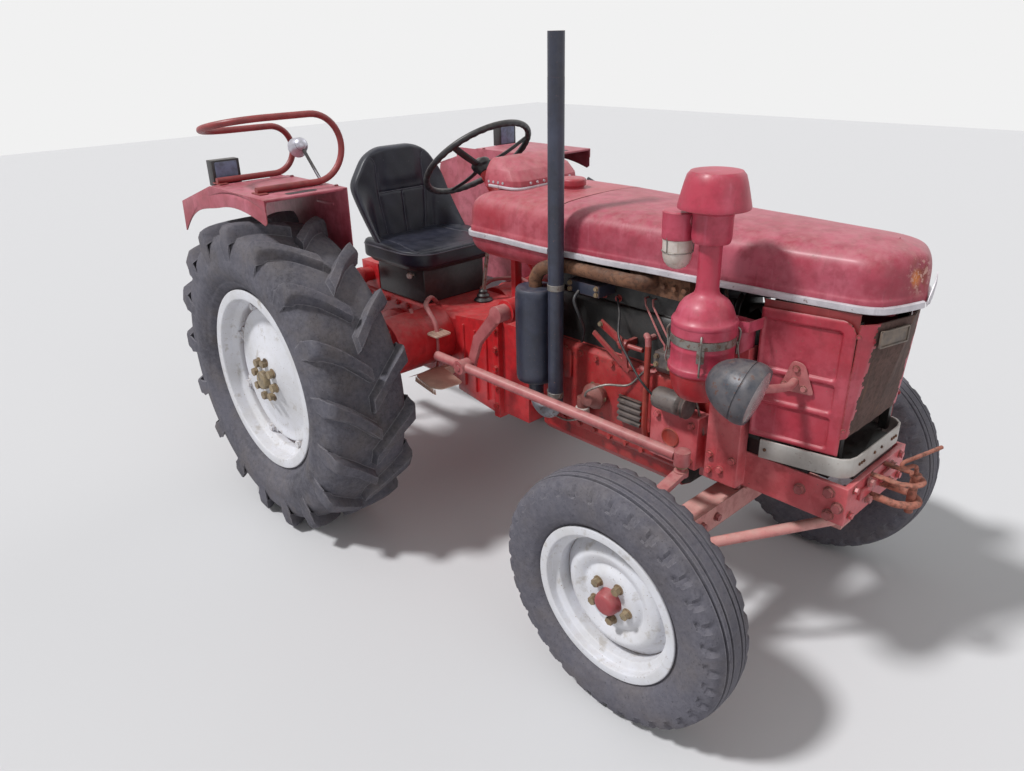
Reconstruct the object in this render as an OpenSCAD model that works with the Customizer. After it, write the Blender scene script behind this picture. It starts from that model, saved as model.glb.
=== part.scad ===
// Compact four-wheel farm tractor with an open driving seat.
// X points forward, Y to the tractor's left, Z up. Lengths are millimetres.
// Places along X are measured from the rear axle and shifted to the frame's origin at the end.

/* [Chassis] */
// Distance between the rear and front axles
wheelbase = 1490; // [1440:5:1560]
// Half width of the gearbox housing
gearbox_half = 150; // [135:1:165]
// Half width of the clutch bell and engine flange
bell_half = 205; // [190:1:215]
// Top of the gearbox housing
gearbox_top = 745; // [720:1:770]
// Underside of the gearbox and sump
belly_z = 430; // [400:1:460]

/* [Rear wheels] */
// Radius over the lug tips of a rear tyre
rear_r = 568; // [555:1:590]
// Section width of a rear tyre
rear_w = 322; // [300:1:335]
// Middle of a rear tyre from the tractor's centre line
rear_y = 647; // [640:1:680]
// Height of a rear lug above the carcass
lug_h = 32; // [20:1:40]
// Number of lugs on each half of a rear tyre
lug_count = 17; // [14:1:22]
// Bead seat radius of a rear rim, for a 24 inch rim
rear_bead_r = 305; // [300:1:310]

/* [Front wheels] */
// Radius over the ribs of a front tyre
front_r = 354; // [345:1:362]
// Section width of a front tyre
front_w = 163; // [150:1:175]
// Middle of a front tyre from the tractor's centre line
front_y = 563; // [560:1:590]
// Bead seat radius of a front rim, for a 16 inch rim
front_bead_r = 203; // [198:1:206]
// Outward lean of the front wheels in degrees
camber = 3; // [0:0.5:4]

/* [Steering] */
// Kingpin axis from the tractor's centre line
kingpin_y = 428; // [420:1:435]
// Kingpin radius
kingpin_r = 18; // [15:0.5:20]
// Length of the rearward track rod arms
track_arm = 90; // [80:1:100]
// Radius of the steering wheel to the middle of its rim
wheel_ring_r = 200; // [180:1:215]
// Rake of the steering wheel plane in degrees
wheel_rake = 40; // [35:1:45]

/* [Bonnet] */
// Rear seam of the bonnet, from the rear axle
seam_x = 930; // [900:1:960]
// Bonnet corner where the nose starts, from the rear axle
corner_x = 1842; // [1820:1:1860]
// Tip of the nose, from the rear axle
nose_x = 1902; // [1885:1:1920]
// Half width of the bonnet at the seam
seam_half = 238; // [225:1:245]
// Half width of the bonnet at its front corners
corner_half = 146; // [135:1:155]
// Lower edge of the bonnet
bonnet_z = 1102; // [1090:1:1115]
// Height of the bonnet above its lower edge
bonnet_h = 132; // [120:1:145]
// Thickness of the bonnet sheet
sheet_t = 4; // [3:0.5:6]

/* [Mudguards] */
// Inner wall of a mudguard from the tractor's centre line
guard_in_y = 455; // [445:1:470]
// Outer edge of a mudguard from the tractor's centre line
guard_out_y = 755; // [740:1:790]
// Height of the flat mudguard top
guard_z = 1232; // [1215:1:1250]
// Front edge of a mudguard, from the rear axle
guard_front_x = 205; // [190:1:220]

/* [Exhaust and air] */
// Radius of the exhaust stack
stack_r = 23; // [20:0.5:26]
// Top of the exhaust stack
stack_top = 1690; // [1600:5:1740]
// Radius of the silencer
silencer_r = 61; // [58:1:68]
// Radius of the air cleaner
cleaner_r = 76; // [70:1:80]

/* [Hidden] */
$fn = 48;

// Engine
block_x = [790.3, 1400];
block_half = 190;
deck_half = 165;
head_half = 150;
deck_z = 804;
head_z = 960;
dynamo_r = 32;
line_r = 3;

// Lamps
headlamp_at = [1672, -400, 946];
headlamp_r = 73;
work_lamp_at = [-48, -468, 1350];

// Frame
seat_gap = 0.3;
pin_play = 0.05;

// Rear wheel
rim_half = 125;
rim_t = 8;
flange_h = 28;
tyre_fn = 40;
lug_base_r = rear_r - lug_h;
axle_shaft_r = 35;
axle_flange_r = 98;

// Front wheel
front_rim_half = 62;
spindle_r = 20;
// Tread outline of a front tyre: radius, distance from the middle
front_tread = [for (p = [[front_r, 22], [front_r - 3, 46], [front_r - 12, 66], [front_r - 34, 78]]) p];
front_z = max([for (p = front_tread) p[0] * cos(camber) + p[1] * sin(camber)]);

// Steering
axle_z = 430;
axle_half_t = 36;
sleeve_r = 33;
sleeve_low = 385;
sleeve_high = 505;
arm_ball = [-5, kingpin_y - 310];
track_z = 362;
track_r = 14;
drop_pivot = [772, -292, 885];
drop_ball = [640, -352, 684];
ball_r = 10;
link_front = [wheelbase + arm_ball[0], -kingpin_y + arm_ball[1], 655];
link_r = 16;
wheel_centre = [344, 0, 1286];

// Bonnet levels: inset from the outline, height above the lower edge
bonnet_levels = [[0, 0], [0, 16], [3, 22], [3, 70], [7, 88], [16, 103], [32, 115], [58, 124], [100, 131]];
tank_back_x = 545;
tank_belly = 78;

// Exhaust
silencer_at = [888, -257];
stack_at = [986, -271];
silencer_z = [685, 990];
elbow_r = norm(stack_at - silencer_at) / 2;
elbow_turn = atan2(stack_at[1] - silencer_at[1], stack_at[0] - silencer_at[0]);

// Air cleaner
cleaner_at = [1527, -322];
neck_r = 27;

// Nose
panel_back_x = 1603;
panel_front_x = 1822;
panel_half_back = 198;
panel_half_front = 158;
panel_low = 727;
panel_high = 1072;
band_z = [674, 726];
band_front_x = 1858;
frame_half = 167;
frame_z = [552, 658];
frame_front_x = 1868;

// Bonnet hinge pin
hinge = [1850, 0, 1086];
hinge_r = 8;

// Rear linkage
link_pin = [-120, 205, 430];
link_pin_r = 14;
link_len = 640;
link_drop = 95;
lift_pivot = [-180, 0, 800];
lift_len = 290;
lift_arm_y = 205;
link_spread = 28;

// Ends along X, and the middle between them
link_eye_r = 24;
link_depth = 40;
jaw_x = 1985;
jaw_bar_r = 8;
jaw_z = [592, 650];
pin_r = 11;
mid_x = (jaw_x + link_pin[0] - link_len - link_eye_r) / 2;

module shifted() translate([-mid_x, 0, 0]) children();
module mirrored_y() { children(); mirror([0, 1, 0]) children(); }
module box(a, b) translate(a) cube(b - a);
module rod(a, b, r) {
    d = b - a;
    translate(a) rotate([0, acos(d[2] / norm(d)), atan2(d[1], d[0])]) cylinder(h = norm(d), r = r);
}
// Bar of rectangular section, w across in the vertical plane and t sideways
module bar(a, b, w, t) {
    d = b - a;
    translate(a) rotate([0, acos(d[2] / norm(d)), atan2(d[1], d[0])]) translate([-w / 2, -t / 2, 0])
        cube([w, t, norm(d)]);
}
// Outline across the tractor, up one side and mirrored to the other, carried from x0 to x1
module across(x0, x1, pts) translate([x0, 0, 0]) rotate([90, 0, 90]) linear_extrude(x1 - x0)
    polygon(concat(pts, [for (i = [len(pts) - 1 : -1 : 0]) [-pts[i][0], pts[i][1]]]));
// Outline turned about a line along X or along -Y: radius, distance
module turned_x(at, pts) translate(at) rotate([0, 90, 0]) rotate_extrude() polygon(pts);
module turned_out(at, pts) translate(at) rotate([90, 0, 0]) rotate_extrude() polygon(pts);
module along_y(at, len, r) translate(at) rotate([-90, 0, 0]) cylinder(h = len, r = r);
module revolve_y() rotate([-90, 0, 0]) rotate_extrude($fn = 72) children();

// A closed solid through outlines of equal length, each counter-clockwise about the way they are stacked
module stack_loft(rings) {
    n = len(rings[0]);
    m = len(rings);
    polyhedron(points = [for (ring = rings) for (p = ring) p],
        faces = concat([[for (i = [0 : n - 1]) i]],
            [for (k = [0 : m - 2]) for (i = [0 : n - 1])
                [k * n + i, (k + 1) * n + i, (k + 1) * n + (i + 1) % n]],
            [for (k = [0 : m - 2]) for (i = [0 : n - 1])
                [k * n + i, (k + 1) * n + (i + 1) % n, k * n + (i + 1) % n]],
            [[for (i = [n - 1 : -1 : 0]) (m - 1) * n + i]]));
}
// Unit vector, and the ring of a round tube about a point of its path
function unit(v) = v / norm(v);
function tube_ring(at, dir, r, n) =
    let (u = unit(cross(dir, [1, 1, 1])), v = cross(unit(dir), u))
    [for (i = [0 : n - 1]) at + r * (cos(360 * i / n) * u + sin(360 * i / n) * v)];
// A round tube along a path of points
module tube(path, r, n = 10) {
    last = len(path) - 1;
    stack_loft([for (i = [0 : last])
        tube_ring(path[i], path[min(i + 1, last)] - path[max(i - 1, 0)], r, n)]);
}
// Points on an arc: centre, the two radius vectors at its start and a quarter turn on, swept angle
function arc(c, u, v, sweep, steps = 8) = [for (i = [0 : steps]) let (a = sweep * i / steps) c + cos(a) * u + sin(a) * v];

// Half width of the bonnet line at a place along it
function bonnet_half(x) = seam_half + (corner_half - seam_half) * (x - seam_x) / (corner_x - seam_x);
// Outline of the bonnet at an inset, seen from above, counter-clockwise
function bonnet_outline(inset, back, z) =
    let (w = corner_half - inset, nose = nose_x - inset, c = corner_x - inset * 0.6, cut = 34)
    concat(
        [[back, -(bonnet_half(back) - inset), z], [c - cut, -(bonnet_half(c - cut) - inset), z],
            [c - 8, -(w - 3), z], [c + 12, -(w - 24), z], [nose, 0, z]],
        [[c + 12, w - 24, z], [c - 8, w - 3, z], [c - cut, bonnet_half(c - cut) - inset, z],
            [back, bonnet_half(back) - inset, z]]);
// Outline of the tank with rounded rear corners
function tank_outline(inset, z) =
    let (w = seam_half - inset, b = tank_back_x + inset, r = 40)
    concat([[seam_x - 4, -w, z], [seam_x - 4, w, z]],
        [for (a = [0 : 30 : 90]) [b + r - r * sin(a), w - r + r * cos(a), z]],
        [for (a = [90 : -30 : 0]) [b + r - r * sin(a), -w + r - r * cos(a), z]]);

module gearbox_housing() color("firebrick") {
    across(-250, 360, [[gearbox_half - 42, belly_z + 20], [gearbox_half, belly_z + 54], [gearbox_half, gearbox_top - 16],
        [gearbox_half - 12, gearbox_top]]);
    hull() {
        box([358, -gearbox_half, belly_z + 20], [362, gearbox_half, gearbox_top]);
        box([640, -bell_half, belly_z + 30], [644, bell_half, gearbox_top + 55]);
    }
    box([640, -bell_half - 14, belly_z + 26], [668, bell_half + 14, gearbox_top + 75]);
    box([668, -bell_half + 8, belly_z + 40], [790, bell_half - 8, gearbox_top + 60]);
    mirrored_y() box([644, 100, gearbox_top + 74], [664, 130, bonnet_z - tank_belly - seat_gap]);
    box([link_pin[0] - 30, -170, belly_z - 34], [link_pin[0] + 30, 170, belly_z + 21]);
    along_y([link_pin[0], -222, link_pin[2]], 444, link_pin_r);
    // housing of the lift shaft
    difference() {
        box([lift_pivot[0] - 58, -150, gearbox_top - 1], [lift_pivot[0] + 58, 150, lift_pivot[2] + 50]);
        along_y([lift_pivot[0], -151, lift_pivot[2]], 302, 28 + pin_play);
    }
}

module rear_axle_housing() color("firebrick") mirrored_y() {
    difference() {
        union() {
            translate([0, 0, rear_r]) revolve_y() polygon([[0, gearbox_half], [120, gearbox_half], [120, 178],
                [98, 190], [82, 236], [78, 436], [axle_flange_r, 446], [axle_flange_r, 480], [0, 480]]);
        }
        along_y([0, 380, rear_r], 101, axle_shaft_r + pin_play);
    }
    along_y([252, gearbox_half, 655], 250, 105);
}

module engine_block() color("darkred") {
    // sump, crankcase, upper block, head and rocker cover
    across(830, 1380, [[96, belly_z + 10], [140, belly_z + 22], [deck_half, belly_z + 50], [deck_half, 521]]);
    across(block_x[0], block_x[1], [[block_half - 20, 520], [block_half, 540], [block_half, deck_z - 6],
        [block_half - 14, deck_z + 8], [deck_half - 20, deck_z + 8]]);
    across(815, block_x[1], [[deck_half, deck_z], [deck_half, head_z - 18], [head_half + 4, head_z + 1]]);
    across(935, 1390, [[head_half, head_z], [head_half, 1044], [head_half - 12, 1056]]);
    across(970, 1360, [[92, 1055], [92, 1106], [78, 1132], [50, 1146]]);
    box([830, -120, head_z - 1], [910, 120, bonnet_z - tank_belly - seat_gap]);
    across(block_x[1] - 1, 1440, [[70, 560], [120, 606], [120, 850], [88, 900]]);
}

module engine_fittings() color("dimgray") {
    // feed pump with its bowl
    turned_out([1092, -block_half, 676], [[0, 0], [33, 0], [33, 14], [40, 18], [40, 30], [30, 42], [22, 60], [0, 66]]);
    translate([1054, -222, 628]) cylinder(h = 36, r = 17);
    // finned cover beside it
    translate([1180, -block_half, 0]) rotate([90, 0, 90]) linear_extrude(84) polygon(concat([[0, 706], [0, 626]],
        [for (k = [0 : 3]) for (p = [[-20, 626], [-20, 634], [-12, 637], [-12, 643]]) [p[0], p[1] + 20 * k]],
        [[-20, 706]]));
    // dynamo with its pulley on a foot
    y = -block_half - dynamo_r - 6;
    turned_x([1328, y, 758], [[0, 0], [22, 0], [dynamo_r - 2, 8], [dynamo_r, 20], [dynamo_r, 84], [dynamo_r - 8, 94],
        [10, 94], [10, 100], [34, 100], [28, 106], [34, 112], [0, 112]]);
    box([1344, y, 748], [1390, -block_half, 768]);
    // injection pump and the lines up to the head
    across_pump = [[-deck_half, 812], [-deck_half, 880], [-deck_half - 44, 880], [-deck_half - 50, 866],
        [-deck_half - 50, 838], [-deck_half - 30, 816]];
    translate([1306, 0, 0]) rotate([90, 0, 90]) linear_extrude(66) polygon(across_pump);
    for (k = [0 : 1]) let (x = 1229 + 26 * k, e = 1322 + 30 * k)
        tube([[x, -head_half, 1004], [x, -head_half - 14, 1004], [x + 12, -head_half - 26, 990],
            [e - 16, -deck_half - 22, 908], [e, -deck_half - 24, 894], [e, -deck_half - 24, 880]], line_r, 6);
    // oil filler tube
    tube([[1268, -deck_half, 900], [1268, -deck_half - 22, 900], [1274, -deck_half - 44, 916],
        [1284, -deck_half - 50, 912], [1286, -deck_half - 50, 890], [1286, -deck_half - 50, 640],
        [1286, -block_half - 18, 610], [1286, -block_half - 8, 606], [1286, -block_half, 606]], 9, 10);
    // throttle shaft and its levers
    rod([1180, -deck_half - 50, 872], [1268, -deck_half - 50, 872], 7);
    rod([1192, -deck_half - 50, 872], [1216, -deck_half - 50, 872], 16);
    box([1198, -deck_half - 50, 862], [1210, -deck_half, 882]);
    bar([1112, -deck_half - 50, 918], [1200, -deck_half - 50, 874], 22, 7);
    bar([1090, -deck_half - 54, 884], [1226, -deck_half - 54, 798], 14, 7);
    bar([1203, -deck_half - 54, 880], [1216, -deck_half - 54, 796], 16, 7);
    // starter
    turned_x([896, block_half + 54, 640], [[0, 0], [40, 0], [52, 10], [52, 176], [44, 190], [34, 232], [0, 236]]);
    box([980, block_half, 612], [1060, block_half + 40, 668]);
    // control box under the exhaust pipe
    box([988, -head_half - 72, 990], [1109, -head_half, 1024]);
}

module exhaust_pipe() color("saddlebrown") {
    z = 1062;
    r = 20;
    x = silencer_at[0];
    y = silencer_at[1];
    box([1180, -175, z - 38], [1380, -150, z + 26]);
    tube(concat([[1262, -156, z]], arc([1217, -171, z], [45, 0, 0], [0, -50, 0], 90, 4),
        [[1080, -221, z], [990, -221, z], [965, -227, z - 1], [946, -240, z - 3], [930, -252, z - 7],
            [912, y, z - 18], [897, y, z - 38]],
        [[x, y, silencer_z[1] + 12], [x, y, silencer_z[1]]]), r, 12);
}

module silencer() color("dimgray") translate([silencer_at[0], silencer_at[1], 0]) {
    rotate_extrude($fn = 72) polygon([[0, silencer_z[0]], [silencer_r - 8, silencer_z[0]],
        [silencer_r, silencer_z[0] + 8], [silencer_r, silencer_z[1] - 8],
        [silencer_r - 8, silencer_z[1]], [0, silencer_z[1]]]);
}

module exhaust_stack() color("darkslategray") {
    z = silencer_z[0] - 40;
    difference() {
        translate([stack_at[0], stack_at[1], z]) cylinder(h = stack_top - z, r = stack_r);
        translate([stack_at[0], stack_at[1], stack_top - 120]) cylinder(h = 121, r = stack_r - 3);
    }
    translate([silencer_at[0], silencer_at[1], z]) rotate([0, 0, elbow_turn]) {
        tube(concat([[0, 0, 14]], arc([elbow_r, 0, 0], [-elbow_r, 0, 0], [0, 0, -elbow_r], 180, 12),
            [[2 * elbow_r, 0, 14]]), stack_r + 1.5, 20);
        cylinder(h = silencer_z[0] - z, r = stack_r);
    }
}

module air_cleaner() color("crimson") {
    translate([cleaner_at[0], cleaner_at[1], 0]) rotate_extrude($fn = 72) polygon([[0, 855],
        [cleaner_r - 22, 855], [cleaner_r - 8, 880], [cleaner_r, 925], [cleaner_r + 5, 930],
        [cleaner_r + 5, 942], [cleaner_r, 948], [cleaner_r, 1045], [cleaner_r + 3, 1050],
        [cleaner_r + 3, 1056], [cleaner_r - 4, 1062], [cleaner_r - 14, 1095], [neck_r + 12, 1112],
        [neck_r, 1125], [neck_r, 1240], [0, 1240]]);
    box([cleaner_at[0] - 30, cleaner_at[1] + cleaner_r - 3, 960],
        [cleaner_at[0] + 60, -190 + 6, 1030]);
}

module pre_cleaner() color("firebrick") translate([cleaner_at[0], cleaner_at[1], 0])
    rotate_extrude($fn = 72) polygon([[0, 1240], [43, 1240], [46.3, 1250], [46.3, 1318], [82, 1318],
        [82, 1326], [66, 1395], [60, 1402], [0, 1402]]);

module dust_jar() color("white") translate([cleaner_at[0] - 84, cleaner_at[1] - 10, 0])
    rotate_extrude($fn = 48) polygon([[0, 1165], [20, 1170], [32, 1186], [36, 1210], [36, 1232],
        [38, 1236], [38, 1296], [0, 1296]]);

module radiator() color("black") {
    box([1612, -150, 700], [1700, 150, 1070]);
    box([1560, -frame_half + 3, frame_z[1] + seat_gap], [1760, frame_half - 3, 700]);
    box([1759, -150, frame_z[1] + seat_gap], [1806, 150, 700]);
    box([1805, -112, frame_z[1] + seat_gap], [band_front_x - 5 - seat_gap, 112, 700]);
    mirrored_y() box([1800, 128, 699], [panel_front_x + 0.7, panel_half_front - 12.4, 1068]);
    // hinge pin of the bonnet and its carrier
    mirrored_y() translate([0, 56, 0]) rotate([90, 0, 0]) linear_extrude(8) polygon([[1690, 1040], [1700, 1040],
        [hinge[0] - 4, 1074], [hinge[0] + 10, 1078], [hinge[0] + 10, hinge[2] + 8], [hinge[0] - 10, hinge[2] + 8],
        [1690, 1071]]);
    along_y([hinge[0], -72, hinge[2]], 144, hinge_r);
}

module side_panels() color("crimson") mirrored_y() difference() {
    translate([0, 0, panel_low]) linear_extrude(panel_high - panel_low)
        polygon([[panel_back_x, panel_half_back], [panel_front_x, panel_half_front],
            [panel_front_x, panel_half_front - 12], [panel_back_x + 6, panel_half_back - 12]]);
    for (row = [[800, 838], [850, 940], [952, 1040]])
        translate([0, 0, row[0]]) linear_extrude(row[1] - row[0])
            polygon([[panel_back_x + 22, panel_half_back + 1], [panel_front_x - 30, panel_half_front + 10],
                [panel_front_x - 30, panel_half_front + 1], [panel_back_x + 22, panel_half_back - 8]]);
}

// Front sheet, its cheeks, edges and prow at two heights
// height, cheek x, cheek half width, edge x, edge half width, prow x
grille_rows = [[775, 1828.3, 158, 1830, 144, 1832], [1068, 1834, 158, 1853, 128, 1886]];
grille_t = 6;
module prow_form(inset, back, grow) hull() for (s = grille_rows)
    translate([0, 0, s[0] < 900 ? s[0] - grow : s[0] + grow - 1]) linear_extrude(1) polygon([[s[1] - back, inset - s[2]],
        [s[1] - inset, inset - s[2]], [s[3] - inset, -s[4]], [s[5] - inset, 0], [s[3] - inset, s[4]],
        [s[1] - inset, s[2] - inset], [s[1] - back, s[2] - inset]]);
module grille() color("rosybrown") difference() {
    prow_form(0, grille_t, 0);
    prow_form(grille_t, 4 * grille_t, 2);
}

function band_outline(inset) = let (w = 200 - inset, f = band_front_x - inset, wf = frame_half - 2 - inset, r = 45)
    concat([[1640, -w]], [for (a = [0 : 30 : 90]) [f - r + r * sin(a), -wf + r - r * cos(a)]],
        [for (a = [90 : -30 : 0]) [f - r + r * sin(a), wf - r + r * cos(a)]], [[1640, w]]);
module bumper_band() color("gainsboro") translate([0, 0, band_z[0]]) linear_extrude(band_z[1] - band_z[0])
    difference() {
        polygon(band_outline(0));
        polygon(concat([[1630, -195]], band_outline(5), [[1630, 195]]));
    }

module front_frame() color("indianred") {
    mirrored_y() {
        box([1400, frame_half - 14, frame_z[0]], [frame_front_x, frame_half, frame_z[1]]);
        box([1400, frame_half - 14, 560], [1460, 206, 720]);
        box([1300, 190, 560], [1401, 206, 720]);
    }
    box([frame_front_x - 16, -frame_half + 14, frame_z[0]], [frame_front_x, frame_half - 14, frame_z[1]]);
    box([1440, -frame_half + 14, 520], [1540, frame_half - 14, frame_z[0] + 14]);
    // air cleaner and lamp plate
    box([1490, -210, frame_z[0] + 8], [1590, -frame_half, 960]);
    // tow jaw
    for (z = jaw_z) tube(concat([[frame_front_x - 8, -38, z], [jaw_x - jaw_bar_r - 38, -38, z]],
        arc([jaw_x - jaw_bar_r - 30, 0, z], [0, -30, 0], [30, 0, 0], 180, 6),
        [[jaw_x - jaw_bar_r - 38, 38, z], [frame_front_x - 8, 38, z]]), jaw_bar_r, 8);
    // hooked pin through both
    translate([jaw_x - 2 * jaw_bar_r - pin_r - seat_gap, 0, jaw_z[0] - 30]) {
        cylinder(h = jaw_z[1] - jaw_z[0] + 56, r = pin_r);
        tube([[0, 0, jaw_z[1] - jaw_z[0] + 40], [0, 0, jaw_z[1] - jaw_z[0] + 58], [2, 14, jaw_z[1] - jaw_z[0] + 72],
            [8, 44, jaw_z[1] - jaw_z[0] + 78], [16, 84, jaw_z[1] - jaw_z[0] + 80]], pin_r - 3, 10);
    }
}

module front_axle() color("palevioletred") {
    difference() {
        union() {
            box([wheelbase - axle_half_t, -kingpin_y, axle_z - axle_half_t],
                [wheelbase + axle_half_t, kingpin_y, axle_z + axle_half_t]);
            mirrored_y() translate([wheelbase, kingpin_y, sleeve_low])
                cylinder(h = sleeve_high - sleeve_low, r = sleeve_r);
        }
        mirrored_y() translate([wheelbase, kingpin_y, sleeve_low - 1])
            cylinder(h = sleeve_high - sleeve_low + 2, r = kingpin_r + pin_play);
    }
    box([wheelbase - 45, -45, axle_z + axle_half_t], [wheelbase + 45, 45, 520]);
    mirrored_y() rod([wheelbase + 20, -340, 392], [1796, -12, 470], 15);
    box([1780, -30, 450], [1812, 30, frame_z[0]]);
}

module fuel_tank() color("brown") difference() {
    stack_loft([for (l = concat([[60, -tank_belly], [22, -tank_belly + 12], [6, -40], [0, -12]], bonnet_levels))
        tank_outline(l[0], bonnet_z + l[1])]);
    rod([700, 0, 861], [300, 0, 861 + 400 * tan(90 - wheel_rake)], 30);
}

module tank_trim() color("silver") translate([0, 0, bonnet_z - 12]) linear_extrude(20) difference() {
    polygon([for (p = tank_outline(-9, 0)) [p[0], p[1]]]);
    polygon([for (p = tank_outline(-seat_gap, 0)) [p[0] > seam_x - 10 ? p[0] + 1 : p[0], p[1]]]);
}

// Cowl over the dash: front edge, half width and height above the tank, from the foot up
cowl_rows = [[704, 152, -0.7], [700, 151, 26], [676, 142, 56], [632, 126, 78], [604, 112, 86]];
function cowl_ring(front, half, z) = let (r = 50) concat([[552, half, z], [552, -half, z]],
    [for (a = [-90 : 30 : 0]) [front - r + r * cos(a), r - half + r * sin(a), z]],
    [for (a = [0 : 30 : 90]) [front - r + r * cos(a), half - r + r * sin(a), z]]);
module dash_cowl() color("indianred")
    stack_loft([for (k = cowl_rows) cowl_ring(k[0], k[1], bonnet_z + bonnet_h + k[2])]);

module steering_box() color("firebrick") {
    box([690, -95, gearbox_top + 60], [790, 95, 940]);
    along_y([drop_pivot[0], drop_pivot[1] + 14.3, drop_pivot[2]], -95 - drop_pivot[1] - 14, 38);
    rod([700, 0, 861], wheel_centre - 58.3 * [-sin(wheel_rake), 0, cos(wheel_rake)], 19);
}

seat_half = 222;
function seat_ring(inset, z) = let (w = seat_half - inset, f = 246 - inset, r = 64)
    concat([[inset - 134, w, z], [inset - 134, -w, z]],
        [for (a = [-90 : 22.5 : 0]) [f - r + r * cos(a), r - w + r * sin(a), z]],
        [for (a = [0 : 22.5 : 90]) [f - r + r * cos(a), w - r + r * sin(a), z]]);
function back_ring(x, inset) = let (w = 206 - inset, low = 926 + inset, top = 1296 - inset, r = 120, lean = 0.1)
    [for (p = concat([[-w, low], [w, low]], [for (a = [0 : 22.5 : 90]) [w - r + r * cos(a), top - r + r * sin(a)]],
        [for (a = [90 : 22.5 : 180]) [r - w + r * cos(a), top - r + r * sin(a)]]))
        [x - lean * (p[1] - low) + 18, p[0], p[1]]];
module seat() color("black") {
    // cushion: inset, height
    stack_loft([for (l = [[14, 880], [0, 898], [0, 944], [10, 958], [34, 967]]) seat_ring(l[0], l[1])]);
    // back: place along X, inset; each slice leans back as it rises
    stack_loft([for (l = [[-178, 16], [-170, 0], [-136, 0], [-128, 18]]) back_ring(l[0], l[1])]);
    // side wings
    mirrored_y() translate([0, 222, 0]) rotate([90, 0, 0]) linear_extrude(30) polygon([[-168, 930], [40, 930],
        [34, 962], [-10, 992], [-70, 1016], [-118, 1066], [-150, 1150], [-182, 1168]]);
}

module seat_base() color("black") box([-120, -150, gearbox_top], [180, 150, 880]);

// Mudguard on the right side; the left one is its mirror image
module mudguard() {
    t = 4;
    back = -455;
    arch = rear_r + 92;
    difference() {
        union() {
            hull() {
                box([guard_front_x - 4, -guard_out_y + 25, guard_z - t], [guard_front_x, -guard_in_y, guard_z]);
                box([-190, -guard_out_y + 25, guard_z - t], [-186, -guard_in_y, guard_z]);
            }
            hull() {
                box([-190, -guard_out_y + 25, guard_z - t], [-186, -guard_in_y, guard_z]);
                box([back, -guard_out_y + 25, guard_z - 86], [back + 4, -guard_in_y, guard_z - 82]);
            }
            difference() {
                rotate([90, 0, 0]) translate([0, 0, guard_out_y - 25]) linear_extrude(25)
                    polygon([[guard_front_x, guard_z], [-188, guard_z], [back, guard_z - 82],
                        [back - 10, 1040], [guard_front_x, 1150]]);
                translate([0, -guard_out_y - 1, rear_r]) rotate([-90, 0, 0]) cylinder(h = 40, r = arch, $fn = 96);
                rotate([90, 0, 0]) translate([0, 0, guard_out_y - 26]) linear_extrude(22)
                    polygon([[guard_front_x + 1, guard_z - t], [-188, guard_z - t], [back, guard_z - 86],
                        [back - 20, 1030], [guard_front_x + 1, 1030]]);
            }
            box([-330, -guard_in_y - t, rear_r + axle_flange_r + seat_gap], [guard_front_x, -guard_in_y, guard_z - t]);
        }
        box([-500, -guard_in_y - t - 1, guard_z - 60], [-330, -guard_in_y + 1, guard_z - 40]);
    }
}
module mudguard_right() color("crimson") mudguard();
module mudguard_left() color("crimson") mirror([0, 1, 0]) mudguard();

module handrail() color("firebrick") {
    // x of the foot, height of the rail above the mudguard, for the front and rear legs
    legs = [[90, 218], [-200, 162]];
    r = 11;
    foot = guard_z + r + seat_gap;
    outer = -720;
    inner = -500;
    half = (legs[0][0] - legs[1][0]) / 2;
    turn = half + r - rear_y - rear_w / 2;
    rise = (legs[0][1] - legs[1][1]) / 2;
    tube(concat([[legs[0][0], outer, foot]],
        arc([legs[0][0], inner, foot + legs[0][1] / 2], [0, 0, -legs[0][1] / 2], [0, legs[0][1] / 2, 0], 180),
        arc([legs[0][0] - half, turn, foot + legs[0][1] - rise], [half, 0, rise], [0, -half, 0], 180),
        arc([legs[1][0], inner, foot + legs[1][1] / 2], [0, 0, legs[1][1] / 2], [0, legs[1][1] / 2, 0], 180),
        [[legs[1][0], outer, foot]]), r);
}

module footsteps() color("tan") mirrored_y() {
    box([335, -368, 556], [520, -225, 562]);
    box([338, -250, 520], [358, -gearbox_half, 556]);
}

module pedals() color("indianred") {
    for (s = [-1, 1]) {
        tube([[200, s * 112, gearbox_top + 7.7], [222, s * 150, 784], [300, s * 236, 790], [352, s * 252, 762],
            [380, s * 252, 716]], 9, 8);
        box([358, s * 252 - 35, 704], [418, s * 252 + 35, 712]);
    }
    rod([300, 40, gearbox_top + 1], [330, 60, 1010], 8);
    translate([330, 60, 1010]) sphere(r = 20);
}

module headlamps() color("dimgray") mirrored_y() {
    // deep bowl, its seam and the front rim: radius, distance along the lamp's axis
    translate(headlamp_at) rotate([0, 96, 0]) rotate_extrude() polygon([[0, -68], [22, -64], [42, -52],
        [58, -32], [headlamp_r - 4, -6], [headlamp_r, 16], [headlamp_r + 2, 18], [headlamp_r + 2, 42],
        [headlamp_r - 3, 54], [50, 60], [0, 63]]);
    // stem, square to the sunk face of the side panel
    tube([headlamp_at + [4, 0, -8], [1692, -300, 915], [1707.4, -215.7, 900], [1700.05, -176.4, 900]], 11, 10);
}

module rear_lamps() color("black") {
    mirrored_y() box([-262, -720, guard_z - 9.7], [-222, -620, guard_z + 76]);
    // work lamp on its stem
    tube([[62, work_lamp_at[1], guard_z + seat_gap], [62, work_lamp_at[1], guard_z + 9], [46, work_lamp_at[1], guard_z + 26],
        work_lamp_at + [14, 0, -12]], 6, 8);
    translate(work_lamp_at) rotate([0, -115, 0]) rotate_extrude() polygon([[0, -22], [14, -19], [24, -8],
        [30, 14], [33, 26], [30, 30], [0, 30]]);
}

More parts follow.
